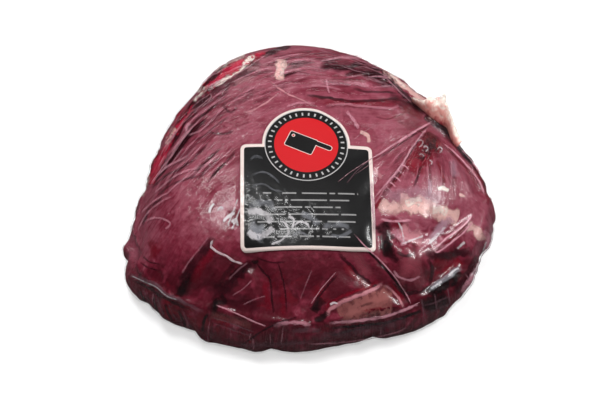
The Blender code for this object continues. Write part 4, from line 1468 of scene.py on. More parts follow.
BAND_STROKES = (
    # Painted sheen, reflections and highlights: glow, facet_a in pink, facet_a_light, facet_b, line_top, double_1,
    # double_2, crescent, window and the glints. Painted shade: double_shade, hollow, hollow_2, the lobe's outline
    # strokes, pocket and inside_strip. pool and pool_low are purge in a hollow, deepened as painted shade.
    Stroke("glow", Paint.SHEEN, 12.0, ((384, 198), (404, 194), (424, 196), (444, 204)), 0.7),
    Stroke("fat_1", Paint.FAT, 10.0, ((379, 203), (386, 207), (394, 208), (404, 205)), 0.8),
    Stroke("fat_2", Paint.FAT, 14.0, ((400, 206), (412, 204), (422, 206), (432, 210)), 1.1),
    Stroke("fat_3", Paint.FAT, 12.0, ((428, 209), (440, 212), (450, 216), (459, 219)), 1.1),
    Stroke("fat_4", Paint.CREAM, 6.0, ((405, 204), (414, 201), (421, 204)), 0.8),
    Stroke("fat_5", Paint.CREAM, 6.0, ((432, 209), (439, 210), (447, 214)), 0.8),
    Stroke("blood", Paint.BLOOD, 3.0, ((374, 208), (378, 203), (382, 200)), 0.8),
    Stroke("pool", Paint.BLACK, 12.0, ((381, 222), (386, 233), (386, 244), (388, 258)), 1.0, 8.0),
    Stroke("pool_low", Paint.DARK, 8.0, ((388, 250), (394, 258), (398, 262)), 0.8, 4.0),
    Stroke("line_top", Paint.PALE, 2.0, ((380, 219), (390, 221), (401, 221), (413, 220)), 1.2),
    Stroke("facet_a", Paint.PINK, 11.0, ((398, 228), (406, 234), (416, 238), (424, 240)), 1.2),
    Stroke("facet_a_light", Paint.PALE, 5.0, ((394, 230), (402, 240), (404, 246)), 1.2),
    Stroke("facet_a_line", Paint.GLINT, 1.6, ((401, 244), (412, 240), (424, 236)), 0.8),
    Stroke("facet_a_edge", Paint.GLINT, 1.4, ((398, 222), (402, 230), (404, 243)), 0.6),
    Stroke("facet_b", Paint.SHEEN, 7.0, ((430, 241), (438, 230), (447, 222), (453, 217)), 1.5),
    Stroke("facet_b_light", Paint.GLINT, 2.4, ((429, 244), (436, 236), (446, 226)), 0.8),
    Stroke("double_1", Paint.PALE, 1.6, ((473, 214), (463, 226), (447, 238), (434, 250)), 1.5),
    Stroke("double_2", Paint.PALE, 1.4, ((474, 220), (463, 233), (452, 242), (438, 252), (434, 250)), 1.4),
    Stroke("double_shade", Paint.BLOOD, 3.0, ((470, 222), (456, 236), (442, 246)), 0.7),
    Stroke("edge_fat", Paint.FAT, 6.5, ((466, 227), (474, 229), (480, 235), (482, 241)), 0.85),
    Stroke("white_crumple", Paint.GLINT, 2.2, ((465, 242), (461, 245), (457, 249)), 0.7),
    Stroke("hollow", Paint.DARK, 7.0, ((424, 252), (440, 256), (456, 254), (474, 251)), 0.9),
    Stroke("hollow_2", Paint.BLOOD, 8.0, ((432, 262), (446, 264), (462, 260)), 0.8),
    Stroke("lobe", Paint.ROSE, 24.0, ((398, 266), (412, 270), (424, 268)), 0.9),
    Stroke("crescent", Paint.PALE, 2.0, ((393, 270), (399, 277), (411, 280), (421, 276)), 0.9),
    Stroke("lobe_under", Paint.DARK, 3.0, ((391, 283), (398, 289), (408, 293), (420, 292), (428, 286))),
    Stroke("lobe_side", Paint.DARK, 3.0, ((428, 258), (432, 270), (430, 284)), 0.8),
    Stroke("lobe_top", Paint.DARK, 2.6, ((396, 252), (405, 256), (416, 254)), 0.7),
    Stroke("pocket", Paint.BLACK, 7.0, ((426, 294), (440, 288), (453, 280), (462, 272))),
    Stroke("window", Paint.BLUE, 4.5, ((428, 290), (439, 282), (452, 273), (462, 267)), 1.3),
    Stroke("window_glint", Paint.GLINT, 1.6, ((430, 289), (436, 285), (442, 281)), 0.8),
    Stroke("window_glint_2", Paint.GLINT, 1.4, ((448, 276), (455, 270), (459, 268)), 0.8),
    Stroke("strip", Paint.PALE, 4.0, ((485, 228), (488, 246), (481, 262), (473, 275), (460, 295)), 1.0),
    Stroke("strip_light", Paint.GLINT, 1.6, ((486, 240), (480, 262), (470, 277)), 0.6),
    Stroke("inside_strip", Paint.DARK, 5.0, ((478, 254), (470, 270), (460, 284), (454, 294)), 0.9),
)
FRONT_STROKES = (
    # Front: the DARK and BLACK strokes of the folds, stars, pocket, gap, seam and pleats, bead_under and the broad
    # dark_front are painted shade; the PALE strokes, line_1 and bead_light are painted highlights on the film's folds;
    # the GREY bead, lines, crumples, edge and pleats are greyish film with a painted sheen.
    Stroke("fold_1", Paint.DARK, 6.0, ((213, 235), (205, 250), (194, 265), (186, 280), (180, 296)), 0.9, 11.0),
    Stroke("fold_1_black", Paint.BLACK, 4.0, ((190, 272), (184, 285), (179, 297)), 0.8, 7.0),
    Stroke("fold_1_red", Paint.BLOOD, 7.0, ((218, 240), (210, 254), (200, 268), (192, 284)), 0.6),
    Stroke("fold_1_pale", Paint.PALE, 1.3, ((209, 236), (200, 248), (188, 263), (182, 274)), 0.4),
    Stroke("fold_2", Paint.DARK, 7.0, ((257, 260), (243, 270), (231, 281), (219, 296)), 0.9, 10.0),
    Stroke("fold_2_black", Paint.BLACK, 3.0, ((252, 264), (240, 273), (229, 284)), 0.6),
    Stroke("fold_2_pale", Paint.PALE, 1.2, ((248, 262), (238, 270), (228, 280)), 0.4),
    Stroke("fold_3", Paint.DARK, 4.0, ((236, 262), (226, 274), (214, 290)), 0.5),
    Stroke("dark_front", Paint.DARK, 14.0, ((204, 276), (222, 292), (244, 304), (262, 308)), 0.5),
    Stroke("pocket", Paint.BLACK, 7.0, ((226, 297), (217, 303), (210, 312)), 0.9),
    Stroke("star_1", Paint.DARK, 1.7, ((255, 260), (262, 270), (270, 280), (272, 298), (274, 315)), 0.9),
    Stroke("star_2", Paint.DARK, 1.4, ((278, 262), (282, 276), (285, 290), (287, 315)), 0.8),
    Stroke("star_3", Paint.DARK, 1.4, ((256, 257), (270, 262), (286, 262)), 0.6),
    Stroke("star_4", Paint.BLACK, 3.0, ((252, 260), (255, 262), (259, 260)), 0.7),
    Stroke("red_glow", Paint.BLOOD, 5.0, ((264, 280), (267, 296), (268, 312)), 0.6),
    Stroke("red_glow_2", Paint.BLOOD, 4.0, ((280, 280), (283, 300), (284, 316)), 0.5),
    Stroke("faint_1", Paint.PALE, 1.0, ((243, 305), (255, 299), (266, 296)), 0.5),
    Stroke("faint_2", Paint.PALE, 1.0, ((232, 296), (244, 288), (252, 280)), 0.5),
    Stroke("faint_3", Paint.PALE, 1.0, ((300, 300), (306, 284), (312, 270)), 0.4),
    Stroke("bead", Paint.GREY, 3.2, (
        (127, 273), (141, 279), (156, 285), (166, 294), (176, 298), (192, 307), (206, 313)), 1.3),
    Stroke("bead_light", Paint.GLINT, 1.0, ((130, 275), (143, 281), (156, 287), (167, 296), (178, 300)), 0.6),
    Stroke("bead_under", Paint.DARK, 2.4, ((130, 279), (146, 286), (160, 295), (176, 303), (192, 311)), 0.8),
    Stroke("line_1", Paint.PALE, 1.2, ((216, 305), (231, 311), (255, 322), (266, 326)), 1.3),
    Stroke("strip_1", Paint.TAN, 6.0, ((210, 314), (230, 319), (252, 327)), 0.3),
    Stroke("line_2", Paint.GREY, 1.2, ((211, 317), (228, 322), (243, 328), (255, 332)), 1.3),
    Stroke("line_3", Paint.GREY, 1.0, ((212, 323), (228, 328), (242, 333), (252, 336)), 1.1),
    Stroke("gap", Paint.BLACK, 2.4, ((208, 313), (204, 322), (202, 332)), 0.9),
    Stroke("seam_dark", Paint.DARK, 1.6, ((239, 347), (255, 336), (267, 328), (281, 322), (300, 316)), 0.9),
    Stroke("seam_crumple", Paint.PALE, 3.0, ((272, 326), (286, 323), (300, 323), (312, 325)), 0.9),
    Stroke("seam_crumple_2", Paint.GREY, 4.0, ((290, 332), (306, 330), (322, 331)), 1.0),
    Stroke("low_edge", Paint.GREY, 3.0, ((236, 345), (266, 345), (293, 343), (312, 342)), 1.0),
    Stroke("p1", Paint.GREY, 1.4, ((142, 288), (148, 300), (155, 312)), 1.0),
    Stroke("p2", Paint.DARK, 2.0, ((139, 289), (145, 301), (151, 312)), 0.8),
    Stroke("p3", Paint.GREY, 1.4, ((157, 296), (160, 306), (165, 316)), 1.0),
    Stroke("p4", Paint.DARK, 2.2, ((153, 296), (156, 307), (160, 317)), 0.8),
    Stroke("p5", Paint.GREY, 1.2, ((168, 303), (172, 312), (178, 322)), 1.0),
    Stroke("p6", Paint.DARK, 2.0, ((165, 303), (168, 312), (173, 322)), 0.8),
    Stroke("p7", Paint.GREY, 1.2, ((182, 309), (187, 320), (192, 330)), 1.0),
    Stroke("p8", Paint.DARK, 2.2, ((178, 309), (183, 320), (187, 330)), 0.8),
    Stroke("p9", Paint.BLOOD, 4.0, ((188, 314), (194, 324), (198, 332)), 0.6),
)
PATCH_STROKES = (
    # Painted shade: corner_dark, b_crease, lip_under, front_black, front_black_2, diagonal, wall_dark and corner_black,
    # in creases, under the lip and low on front and wall. Painted highlights: corner_light, lip, diagonal_light,
    # wall_line and front_glint; the GREY lines are greyish film with a painted sheen.
    Stroke("beside_lobe", Paint.ROSE, 9.0, ((338, 252), (353, 254), (364, 266), (370, 277)), 0.9),
    Stroke("corner_dark", Paint.BLACK, 1.8, ((352, 236), (364, 247), (376, 259), (390, 274), (402, 290), (410, 305)), 0.9),
    Stroke("corner_light", Paint.PALE, 1.1, ((354, 234), (368, 249), (381, 261), (395, 277), (405, 292), (411, 304)), 1.1),
    Stroke("b_crease", Paint.DARK, 3.0, ((337, 252), (349, 264), (360, 276), (372, 284), (380, 290)), 0.9),
    Stroke("crimson_1", Paint.BLOOD, 5.0, ((342, 262), (354, 276), (364, 284), (372, 288)), 0.7),
    Stroke("patch", Paint.TAN, 15.0, ((338, 316), (354, 309), (374, 303), (394, 303)), 1.0, 20.0),
    Stroke("patch_dark", Paint.BLOOD, 3.0, ((360, 308), (372, 310), (384, 306)), 0.5),
    Stroke("patch_dark_2", Paint.DARK, 2.0, ((352, 312), (362, 306), (374, 302)), 0.4),
    Stroke("ridge", Paint.PINK, 3.0, ((326, 317), (333, 307), (352, 298), (370, 291), (384, 283)), 1.1),
    Stroke("ridge_red", Paint.BLOOD, 3.0, ((324, 312), (332, 302), (350, 293), (368, 287), (380, 280)), 0.9),
    Stroke("ridge_right", Paint.PINK, 2.2, ((384, 285), (392, 290), (399, 299), (404, 308)), 1.1),
    Stroke("ridge_right_red", Paint.BLOOD, 3.4, ((388, 282), (398, 292), (404, 302)), 0.8),
    Stroke("lip", Paint.PALE, 2.2, ((327, 323), (353, 321), (382, 317), (401, 311), (420, 303)), 1.3),
    Stroke("lip_fat", Paint.PINK, 3.0, ((340, 322), (366, 319), (392, 314)), 0.8),
    Stroke("lip_under", Paint.BLACK, 2.2, ((330, 328), (354, 326), (382, 323), (404, 317), (424, 309)), 0.9),
    Stroke("front_black", Paint.BLACK, 7.0, ((313, 312), (318, 305), (324, 299)), 0.85),
    Stroke("front_black_2", Paint.BLACK, 5.0, ((314, 320), (322, 318), (328, 312)), 0.8),
    Stroke("front_glint", Paint.GLINT, 1.6, ((330, 305), (334, 303), (338, 304)), 0.8),
    Stroke("diagonal", Paint.DARK, 1.6, ((313, 306), (324, 290), (338, 274)), 0.8),
    Stroke("diagonal_light", Paint.PALE, 0.9, ((311, 304), (322, 288), (336, 272)), 0.7),
    Stroke("wall_grey", Paint.GREY, 6.0, ((308, 337), (336, 334), (362, 330), (390, 324), (408, 319)), 0.8),
    Stroke("wall_line", Paint.PALE, 1.2, ((306, 344), (334, 343), (360, 340), (390, 334), (408, 327)), 0.9),
    Stroke("wall_dark", Paint.BLACK, 2.0, ((330, 336), (352, 330), (372, 327)), 0.7),
    Stroke("corner_black", Paint.BLACK, 12.0, ((422, 308), (434, 303), (448, 296)), 0.8),
    Stroke("corner_v1", Paint.GREY, 1.4, ((421, 298), (423, 310), (424, 322)), 1.0),
    Stroke("corner_v2", Paint.GREY, 1.2, ((434, 293), (436, 304), (437, 316)), 1.0),
    Stroke("corner_v3", Paint.GREY, 1.2, ((447, 288), (449, 298), (450, 309)), 1.0),
    Stroke("corner_h1", Paint.GREY, 1.0, ((422, 306), (436, 302), (450, 296)), 0.9),
    Stroke("corner_h2", Paint.GREY, 1.0, ((424, 314), (437, 309), (449, 304)), 0.8),
)
LABEL_STROKES = (
    # All painted reflections and highlights of the crumpled film over the label; border_dim is a painted pink sheen
    # over its border, cross_line a grey film line with a painted sheen.
    Stroke("sheen_1", Paint.BLUE, 5.0, ((248, 208), (258, 203), (270, 204), (276, 211)), 0.8),
    Stroke("sheen_2", Paint.BLUE, 11.0, ((248, 228), (256, 231), (266, 230)), 1.3),
    Stroke("sheen_3", Paint.GLINT, 5.0, ((247, 231), (256, 237), (266, 234), (273, 226)), 0.8),
    Stroke("sheen_4", Paint.GLINT, 5.0, ((247, 213), (256, 211), (266, 215), (273, 223)), 0.7),
    Stroke("sheen_7", Paint.BLUE, 5.0, ((300, 214), (312, 218), (318, 226)), 1.0),
    Stroke("sheen_8", Paint.GLINT, 2.0, ((288, 216), (294, 220), (292, 230)), 0.7),
    Stroke("line_1", Paint.GLINT, 1.6, ((282, 220), (287, 226), (288, 234), (280, 241), (270, 245)), 0.7),
    Stroke("line_2", Paint.GLINT, 1.8, ((294, 226), (299, 222), (306, 223), (310, 229)), 0.7),
    Stroke("line_3", Paint.BLUE, 2.0, ((292, 236), (300, 232), (308, 236)), 0.9),
    Stroke("sheen_5", Paint.BLUE, 4.0, ((322, 227), (334, 225), (350, 227)), 0.9),
    Stroke("sheen_6", Paint.BLUE, 3.0, ((330, 236), (342, 236), (352, 230)), 0.8),
    Stroke("upper_1", Paint.BLUE, 2.4, ((250, 160), (256, 156), (264, 158)), 0.5),
    Stroke("upper_2", Paint.BLUE, 1.6, ((252, 176), (262, 172), (272, 176), (280, 184)), 0.6),
    Stroke("upper_3", Paint.BLUE, 1.4, ((250, 188), (262, 184), (274, 190), (284, 192)), 0.6),
    Stroke("border_dim", Paint.SHEEN, 2.4, ((371, 180), (373, 205), (375, 236)), 1.2),
    Stroke("border_1", Paint.GLINT, 1.4, ((228, 226), (232, 214), (238, 198)), 0.6),
    Stroke("border_2", Paint.GLINT, 1.4, ((232, 230), (236, 220), (240, 208)), 0.6),
    Stroke("cross_line", Paint.GREY, 0.9, ((370, 160), (358, 170), (346, 184)), 1.0),
)
ALL_STROKES = (
    *RIM_STROKES, *LEFT_STROKES, *TOP_STROKES, *RIGHT_STROKES,
    *BAND_STROKES, *FRONT_STROKES, *PATCH_STROKES, *LABEL_STROKES,
)


class Painter:
    """Lays strokes on the meat and on the film as thin strips."""

    STEP_PX = 1.6
    COLUMNS = 8
    LONGEST_EDGE = 0.012
    LAYER_STEP = 1.5e-6

    def __init__(self, surface: Surface, lift: float) -> None:
        """Starts an empty mesh of strips.

        Args:
            surface: What the strips lie on.
            lift: How far they are above it.
        """
        self.surface = surface
        self.lift = lift
        self.bm = bmesh.new()
        self.layers = {name: self.bm.verts.layers.float.new(name) for name in ("across", "along", "cover", "soft")}
        self.tint = self.bm.verts.layers.float_color.new("tint")
        self.count = 0

    def strip(self, rows: int, place_at: Callable, paint: Pigment, cover: float) -> None:
        """Adds a strip.

        Args:
            rows: How many cells it has along its length.
            place_at: Function that gives the place on the surface for a share along and a share across.
            paint: Its colour.
            cover: How much it covers, as a share of what its paint does.
        """
        made = bmesh.ops.create_grid(self.bm, x_segments=rows, y_segments=self.COLUMNS, size=0.5)["verts"]
        lift = self.lift + self.count * self.LAYER_STEP
        for vert in made:
            along, across = vert.co.x + 0.5, 2.0 * vert.co.y
            place, normal = self.surface.nearest(place_at(along, across))
            vert.co = place + normal * lift
            vert[self.layers["across"]] = across
            vert[self.layers["along"]] = along
            vert[self.layers["cover"]] = min(1.0, paint.cover * cover)
            vert[self.layers["soft"]] = paint.soft
            vert[self.tint] = (*paint.colour, 1.0)

    def seen_stroke(self, stroke: Stroke) -> None:
        """Adds a stroke of the photograph."""
        knots = np.array(stroke.seen, float)
        length = np.linalg.norm(np.diff(knots, axis=0), axis=1).sum()
        rows = max(5, int(length / self.STEP_PX))
        centre = smooth_curve(knots, rows + 1)
        heading = np.gradient(centre, axis=0)
        heading /= np.linalg.norm(heading, axis=1)[:, None]
        sides = np.stack([-heading[:, 1], heading[:, 0]], axis=1)
        last = stroke.end or stroke.width

        def place_at(along: float, across: float) -> Vector:
            """Place seen at a share of the stroke."""
            row = int(round(along * rows))
            width = stroke.width + (last - stroke.width) * along
            width *= 1.0 + 0.5 * noise.noise(Vector((row * 0.33, 5.0, stroke.seen[0][0])))
            sway = noise.noise(Vector((row * 0.21, stroke.width, len(stroke.name)))) * 0.35
            pixel = centre[row] + sides[row] * width * (0.85 * across + sway)
            return self.surface.seen(*pixel)

        self.count += 1
        self.strip(rows, place_at, stroke.paint.value, stroke.cover)

    def laid_stroke(self, route: np.ndarray, width: float, aside: float, paint: Paint, cover: float) -> None:
        """Adds a stroke along a route on the surface.

        Args:
            route: Its places, one in a row.
            width: Its width in metres.
            aside: How far it lies to the left of the route.
            paint: What it is made of.
            cover: How much it covers, as a share of what its paint does.
        """
        rows = len(route) - 1
        heading = np.gradient(route, axis=0)
        normals = np.array([self.surface.nearest(Vector(place))[1] for place in route])
        sides = np.cross(normals, heading)
        sides /= np.maximum(np.linalg.norm(sides, axis=1), 1e-9)[:, None]

        def place_at(along: float, across: float) -> Vector:
            """Place at a share of the stroke."""
            row = int(round(along * rows))
            half = width * (0.3 + 0.7 * math.sin(math.pi * along)) / 2
            return Vector(route[row] + sides[row] * (half * across + aside))

        self.strip(rows, place_at, paint.value, cover)

    def build(self, name: str, finish: bpy.types.Material) -> bpy.types.Object:
        """Makes one piece of all the strips.

        Args:
            name: The piece's name.
            finish: Its material.

        Returns:
            The piece.
        """
        torn = [face for face in self.bm.faces if max(edge.calc_length() for edge in face.edges) > self.LONGEST_EDGE]
        bmesh.ops.delete(self.bm, geom=torn, context="FACES")
        bmesh.ops.recalc_face_normals(self.bm, faces=self.bm.faces[:])
        mesh = bpy.data.meshes.new(name)
        self.bm.to_mesh(mesh)
        self.bm.free()
        mesh.shade_smooth()
        return add_piece(name, mesh, finish)


@dataclass(frozen=True)
class Scatter:
    """A rule for scattering short lines: how many, how they run, where they start, and their sizes."""

    count: int
    heading: str
    spread_x: tuple
    spread_y: tuple
    lengths: tuple
    widths: tuple
    sway: float


@dataclass
class Scatterer:
    """Draws the short wrinkles that are too many to name, by zone and direction."""

    seed: int = 11
    plans: tuple = (
        Scatter(120, "arcs", (-0.112, -0.050), (-0.010, 0.070), (0.010, 0.032), (0.0010, 0.0032), 0.035),
        Scatter(50, "arcs", (-0.075, 0.010), (0.040, 0.095), (0.008, 0.026), (0.0010, 0.0030), 0.08),
        Scatter(44, "level", (-0.010, 0.078), (0.050, 0.098), (0.010, 0.026), (0.0012, 0.0036), 0.16),
        Scatter(9, "gathers", (0.050, 0.104), (-0.020, 0.026), (0.010, 0.030), (0.0010, 0.0026), 0.10),
    )
    wall_count: int = 30
    step: float = 0.0014
    steepest: float = 0.60

    def heading(self, name: str, place: Vector, knot: Vector) -> Vector:
        """Direction of the wrinkles of one kind at a place."""
        if name == "arcs":
            arm = place - Vector(ARC_MIDDLE)
            return Vector((-arm.y, arm.x, 0.0)).normalized()
        if name == "gathers":
            arm = place - knot
            return Vector((arm.x, arm.y, 0.0)).normalized()
        if name == "down":
            return Vector((0.0, 0.0, -1.0))
        return Vector((1.0, 0.1, 0.0)).normalized()

    def walk(
        self, start: Vector, heading: Callable, length: float, surface: Surface, lowest_normal: float = -1.0
    ) -> np.ndarray:
        """A route of a length that follows a direction over the surface.

        Args:
            start: Its first place.
            heading: Function that gives the direction at a place.
            length: Its length.
            surface: The surface that it keeps to.
            lowest_normal: Upward part of the surface's normal under which the route ends.

        Returns:
            The places, one in a row.
        """
        places = [surface.nearest(start)[0]]
        for _ in range(max(4, int(length / self.step))):
            ahead = places[-1] + heading(places[-1]) * self.step
            place, normal = surface.nearest(ahead)
            if normal.z < lowest_normal and len(places) > 4:
                break
            places.append(place)
        return np.array(places)

    def routes(self, surface: Surface, knot: Vector, shift: int, share: float = 1.0) -> list:
        """Scattered routes with their widths.

        Args:
            surface: The surface that they keep to.
            knot: The place that the gathers run from.
            shift: Added to the seed, for another set.
            share: Share of the full count.

        Returns:
            Pairs of route and width.
        """
        draw = random.Random(self.seed + shift)
        made = []

        def swayed(name: str, sway: float) -> Callable:
            """A heading that strays a little, the same way along one line."""
            tilt, bend = draw.uniform(-sway, sway), draw.uniform(-sway, sway) * 40.0

            def heading(place: Vector) -> Vector:
                """Direction at a place."""
                base = self.heading(name, place, knot)
                turn = tilt + bend * (place.x + place.y)
                return Vector((base.x - base.y * turn, base.y + base.x * turn, base.z))

            return heading

        for plan in self.plans:
            for _ in range(int(plan.count * share)):
                start = Vector((draw.uniform(*plan.spread_x), draw.uniform(*plan.spread_y), 0.08))
                heading = swayed(plan.heading, plan.sway)
                length, width = draw.uniform(*plan.lengths), draw.uniform(*plan.widths)
                if surface.nearest(start)[1].z > self.steepest:
                    made.append((self.walk(start, heading, length, surface, self.steepest), width))
        for _ in range(int(self.wall_count * share)):
            turn = draw.uniform(0.0, 2 * math.pi)
            start = Vector((0.12 * math.cos(turn), 0.12 * math.sin(turn), draw.uniform(0.014, 0.038)))
            heading = swayed("down", 0.4)
            length, width = draw.uniform(0.008, 0.022), draw.uniform(0.0012, 0.0034)
            made.append((self.walk(start, heading, length, surface), width))
        return made


@dataclass
class DrawnLines:
    """Thin lines where the tight film is drawn up: the ones that show in the photograph, and finer ones by a rule."""

    radius: float = 0.00022
    seen: tuple = (
        Mark("g1", 0.0, 1.3, ((432, 121), (412, 132), (394, 144), (374, 157), (352, 171), (338, 182))),
        Mark("g2", 0.0, 1.3, ((428, 127), (419, 138), (410, 150), (405, 160), (394, 175), (374, 198))),
        Mark("faint_arc", 0.0, 0.8, ((380, 122), (370, 128), (361, 134), (350, 142))),
        Mark("edge_line", 0.0, 1.2, ((443, 143), (456, 154), (469, 168), (479, 181), (485, 195))),
        Mark("edge_line_2", 0.0, 0.9, ((452, 140), (462, 150), (473, 163), (482, 176))),
        Mark("double_fold", 0.0, 1.3, ((472, 214), (458, 228), (444, 241), (433, 250))),
        Mark("double_fold_2", 0.0, 1.1, ((474, 218), (461, 232), (449, 243), (434, 251))),
        Mark("wiggle", 0.0, 1.8, ((213, 240), (211, 246), (216, 251), (226, 256), (234, 261), (243, 264))),
        Mark("finger", 0.0, 1.0, ((178, 121), (190, 110), (204, 98), (210, 94), (211, 98), (203, 106), (184, 122))),
        Mark("rim_line", 0.0, 1.5, ((270, 53), (258, 60), (245, 69), (228, 79), (210, 88), (198, 96))),
        Mark("corner_line", 0.0, 1.1, ((354, 234), (368, 249), (381, 261), (395, 277), (405, 292), (411, 304))),
        Mark("front_line", 0.0, 1.2, ((216, 305), (231, 311), (255, 322), (266, 326))),
        Mark("lip", 0.0, 1.5, ((331, 323), (371, 318), (402, 311), (420, 302))),
        Mark("diagonal", 0.0, 0.8, ((311, 304), (322, 288), (336, 272))),
        Mark("top_line", 0.0, 1.1, ((320, 61), (339, 58), (364, 58))),
    )

    def build(self, film: Surface, routes: list, finish: bpy.types.Material) -> bpy.types.Object:
        """Lays all the lines on the film as one piece.

        Args:
            film: The film's surface.
            routes: Scattered routes with their widths.
            finish: Their material.

        Returns:
            The lines.
        """
        curve = bpy.data.curves.new("drawn_lines", "CURVE")
        curve.dimensions = "3D"
        curve.bevel_depth = 1.0
        curve.bevel_resolution = 1
        curve.use_fill_caps = True
        lines = [(film.route(mark.seen, 0.0012), self.radius * mark.strength) for mark in self.seen]
        lines += [(route, 0.05 * width) for route, width in routes]
        for route, radius in lines:
            spline = curve.splines.new("POLY")
            spline.points.add(len(route) - 1)
            for number, (point, place) in enumerate(zip(spline.points, route)):
                near, normal = film.nearest(Vector(place))
                middle_share = 1.0 - abs(2.0 * number / (len(route) - 1) - 1.0)
                point.co = (*(near + normal * radius * 0.2), 1.0)
                point.radius = radius * (0.25 + 0.75 * middle_share**0.6)
        holder = bpy.data.objects.new("drawn_lines", curve)
        bpy.context.scene.collection.objects.link(holder)
        mesh = bpy.data.meshes.new_from_object(holder.evaluated_get(bpy.context.evaluated_depsgraph_get()))
        bpy.data.objects.remove(holder)
        mesh.shade_smooth()
        return add_piece("drawn_lines", mesh, finish)


@dataclass
class FatTag:
    """The crumpled tag of fat and film that stands up at the knot."""

    base_seen: tuple = ((412, 101), (423, 110), (432, 118), (440, 124), (447, 129), (454, 137), (459, 145))
    tip_seen: tuple = (
        (412, 97), (421, 100), (429, 98), (438, 96), (445, 95), (448, 102), (450, 112), (454, 122), (458, 132), (462, 142))
    stand_off: float = 0.003
    thickness: float = 0.0010
    columns: int = 64
    rows: int = 14

    def build(self, surface: Surface, finish: bpy.types.Material) -> bpy.types.Object:
        """Makes the tag as a fluted sheet between its root and its free edge.

        Args:
            surface: The pack's surface.
            finish: The fat's material.

        Returns:
            The tag.
        """
        root = smooth_curve(np.array([surface.seen(*p) for p in self.base_seen]), self.columns + 1)
        eye = VIEW.eye()
        middle = Vector(root[self.columns // 2])
        tips = []
        for pixel in self.tip_seen:
            sight = VIEW.ray(*pixel)
            tips.append(eye + sight * ((middle - eye).dot(sight) - self.stand_off))
        tip = smooth_curve(np.array(tips), self.columns + 1)
        bm = bmesh.new()
        masks = {name: bm.verts.layers.float.new(name) for name in ("root", "strand")}
        bmesh.ops.create_grid(bm, x_segments=self.columns, y_segments=self.rows, size=0.5)
        for vert in bm.verts:
            column = int(round((vert.co.x + 0.5) * self.columns))
            share = vert.co.y + 0.5
            strand = noise.noise(Vector((column * 0.16, 0.8 * share, 3.0)))
            strand += 0.3 * noise.noise(Vector((column * 0.6, share, 7.0)))
            reach = 1.0 + 0.12 * noise.noise(Vector((column * 0.20, 0.0, 11.0)))
            place = Vector(root[column]).lerp(Vector(tip[column]), share * reach)
            toward = (eye - place).normalized()
            crumple = noise.noise_vector(place * 200.0) * 0.0010 * share
            vert.co = place + toward * (0.0026 * math.sin(math.pi * share) + 0.0024 * share * strand) + crumple
            vert[masks["root"]] = 1.0 - share
            vert[masks["strand"]] = strand
        mesh = bpy.data.meshes.new("fat_tag")
        bm.to_mesh(mesh)
        bm.free()
        mesh.shade_smooth()
        piece = add_piece("fat_tag", mesh, finish)
        wall = piece.modifiers.new("flesh", "SOLIDIFY")
        wall.thickness = self.thickness
        wall.offset = 0.0
        return piece


@dataclass(frozen=True)
class Softbox:
    """A flat area light that points at the pack, and may stay out of its mirror images."""

    name: str
    azimuth_deg: float
    elevation_deg: float
    distance: float
    width: float
    height: float
    watts: float
    mirrored: bool = True

    def build(self) -> None:
        """Adds the light; azimuth 0 is behind the pack and 90 is at its right."""
        turn, tilt = math.radians(self.azimuth_deg), math.radians(self.elevation_deg)
        away = Vector((math.sin(turn) * math.cos(tilt), math.cos(turn) * math.cos(tilt), math.sin(tilt)))
        data = bpy.data.lights.new(self.name, "AREA")
        data.shape = "RECTANGLE"
        data.size = self.width
        data.size_y = self.height
        data.energy = self.watts
        light = bpy.data.objects.new(self.name, data)
        light.visible_glossy = self.mirrored
        light.location = away * self.distance
        light.rotation_euler = away.to_track_quat("Z", "Y").to_euler()
        bpy.context.scene.collection.objects.link(light)


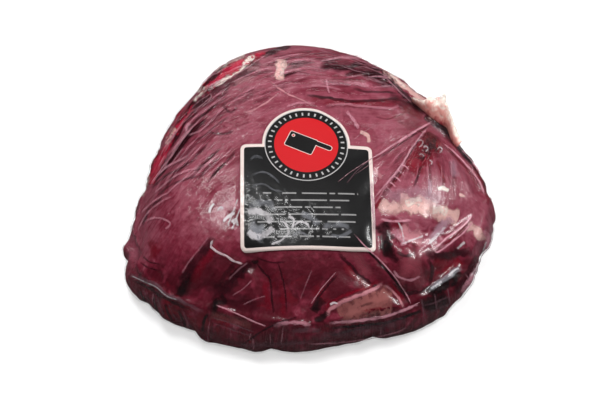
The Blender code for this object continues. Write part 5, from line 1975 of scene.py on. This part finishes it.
@dataclass(frozen=True)
class Studio:
    """Plain pale floor and soft light."""

    floor_size: float = 6.0
    floor_seen: tuple = (0.80, 0.80, 0.80)
    floor_lit: tuple = (0.10, 0.10, 0.10)
    floor_glow: float = 0.50
    softboxes: tuple = (
        Softbox("key_left", -50.0, 72.0, 1.4, 0.32, 0.32, 3.2),
        Softbox("crumple_light", -70.0, 85.0, 1.4, 0.36, 0.36, 3.2),
        Softbox("right", 78.0, 43.0, 1.4, 0.50, 0.45, 11.0),
        Softbox("back_strip", -5.0, 28.0, 1.6, 1.2, 0.35, 2.4),
        Softbox("top_fill", -20.0, 72.0, 1.4, 0.60, 0.60, 5.2, False),
        Softbox("left_fill", -80.0, 20.0, 1.6, 0.80, 0.50, 4.2, False),
        Softbox("front_fill", 185.0, 36.0, 1.4, 0.80, 0.60, 4.2, False),
    )

    def build(self) -> None:
        """Adds the floor, the lights and the sky."""
        bm = bmesh.new()
        bmesh.ops.create_grid(bm, x_segments=1, y_segments=1, size=self.floor_size / 2)
        mesh = bpy.data.meshes.new("floor")
        bm.to_mesh(mesh)
        bm.free()
        material, nodes = new_material("floor_paper")
        seen = nodes.add("BsdfDiffuse", Color=self.floor_seen)
        glow = nodes.add("Emission", Color=(1.0, 1.0, 1.0), Strength=self.floor_glow)
        lit = nodes.add("BsdfDiffuse", Color=self.floor_lit)
        bright = nodes.add("AddShader", i0=seen.outputs[0], i1=glow.outputs[0])
        path = nodes.add("LightPath").outputs["Is Camera Ray"]
        both = nodes.add("MixShader", i0=path, i1=lit.outputs[0], i2=bright.outputs[0])
        nodes.add("OutputMaterial", Surface=both.outputs[0])
        mesh.materials.append(material)
        floor = bpy.data.objects.new("floor", mesh)
        floor.location.z = -0.0001
        bpy.context.scene.collection.objects.link(floor)
        for softbox in self.softboxes:
            softbox.build()
        self.sky()

    def sky(self) -> None:
        """White for the camera; for light, bright low at the back and dim above and in front."""
        world = bpy.data.worlds.new("studio")
        bpy.context.scene.world = world
        world.use_nodes = True
        nodes = Nodes(world.node_tree)
        parts = nodes.add("SeparateXYZ", Vector=nodes.add("TexCoord").outputs["Generated"])
        low = nodes.ramp(parts.outputs[2], 0.62, 0.28)
        low = nodes.math("MULTIPLY", low, nodes.ramp(parts.outputs[2], 0.08, 0.30, 0.08, 1.0))
        back = nodes.ramp(parts.outputs[1], -0.5, 0.3, 0.10, 1.0)
        left_end = nodes.ramp(parts.outputs[0], -0.66, -0.20, 0.06, 1.0)
        right_end = nodes.ramp(parts.outputs[0], 0.16, 0.40, 1.0, 0.25)
        level = nodes.math("MULTIPLY", left_end, right_end)
        glow = nodes.math("MULTIPLY", nodes.math("MULTIPLY", low, back), level)
        glow = nodes.total((glow, 0.6), (1.0, 0.07))
        dim = nodes.add("Background", Strength=glow)
        white = nodes.add("Background", Color=(1.0, 1.0, 1.0, 1.0), Strength=1.0)
        path = nodes.add("LightPath").outputs["Is Camera Ray"]
        mixed = nodes.add("MixShader", i0=path, i1=dim.outputs[0], i2=white.outputs[0])
        nodes.add("OutputWorld", Surface=mixed.outputs[0])


def main() -> None:
    """Builds every piece in order."""
    logging.basicConfig(level=logging.INFO, format="%(name)s: %(message)s")
    bpy.context.scene.view_settings.view_transform = "Standard"
    VIEW.build()
    Studio().build()
    base = Surface(smooth_copy(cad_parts["bagged_rump"], levels=2, foot_share=0.985))
    knot = base.seen(*KNOT_SEEN)
    streaks = curved_streaks()
    wrinkles = small_wrinkles(streaks, tuple(knot))
    label = Label()
    relief = Relief().build(base, label)
    meat = Meat().build(base, relief, MeatFinish().build(streaks, wrinkles))
    film = Film().build(base, relief, FilmFinish().build(wrinkles))
    label.build(base)
    meat_surface, film_surface = Surface(meat.data), Surface(film.data)
    scatterer = Scatterer()
    under, over = Painter(meat_surface, 0.00010), Painter(film_surface, 0.00005)
    # Scattered wrinkles: painted shade on the meat beside a painted highlight on the film, as a lit crest and its
    # shade.
    for route, width in scatterer.routes(meat_surface, knot, 1):
        under.laid_stroke(route, 1.7 * width, 0.5 * width, Paint.SHADE, 0.5)
        over.laid_stroke(route, 0.55 * width, -0.3 * width, Paint.PALE, 0.6)
    for stroke in ALL_STROKES:
        painter = over if stroke.paint.value.on_film else under
        painter.seen_stroke(stroke)
    meat_marks = under.build("meat_marks", StrokeFinish("marks_on_meat", 0.35, 1.1, 0.75, 330.0).build())
    film_marks = over.build("film_marks", StrokeFinish("marks_on_film", 0.25, 1.2, 0.80, 480.0).build())
    lines = DrawnLines().build(film_surface, scatterer.routes(film_surface, knot, 3, 0.12), LineFinish().build())
    tag = FatTag().build(base, FatFinish().build())
    for piece in (meat, film, meat_marks, film_marks, lines, tag):
        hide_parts("bagged_rump")


if __name__ == "__main__":
    main()
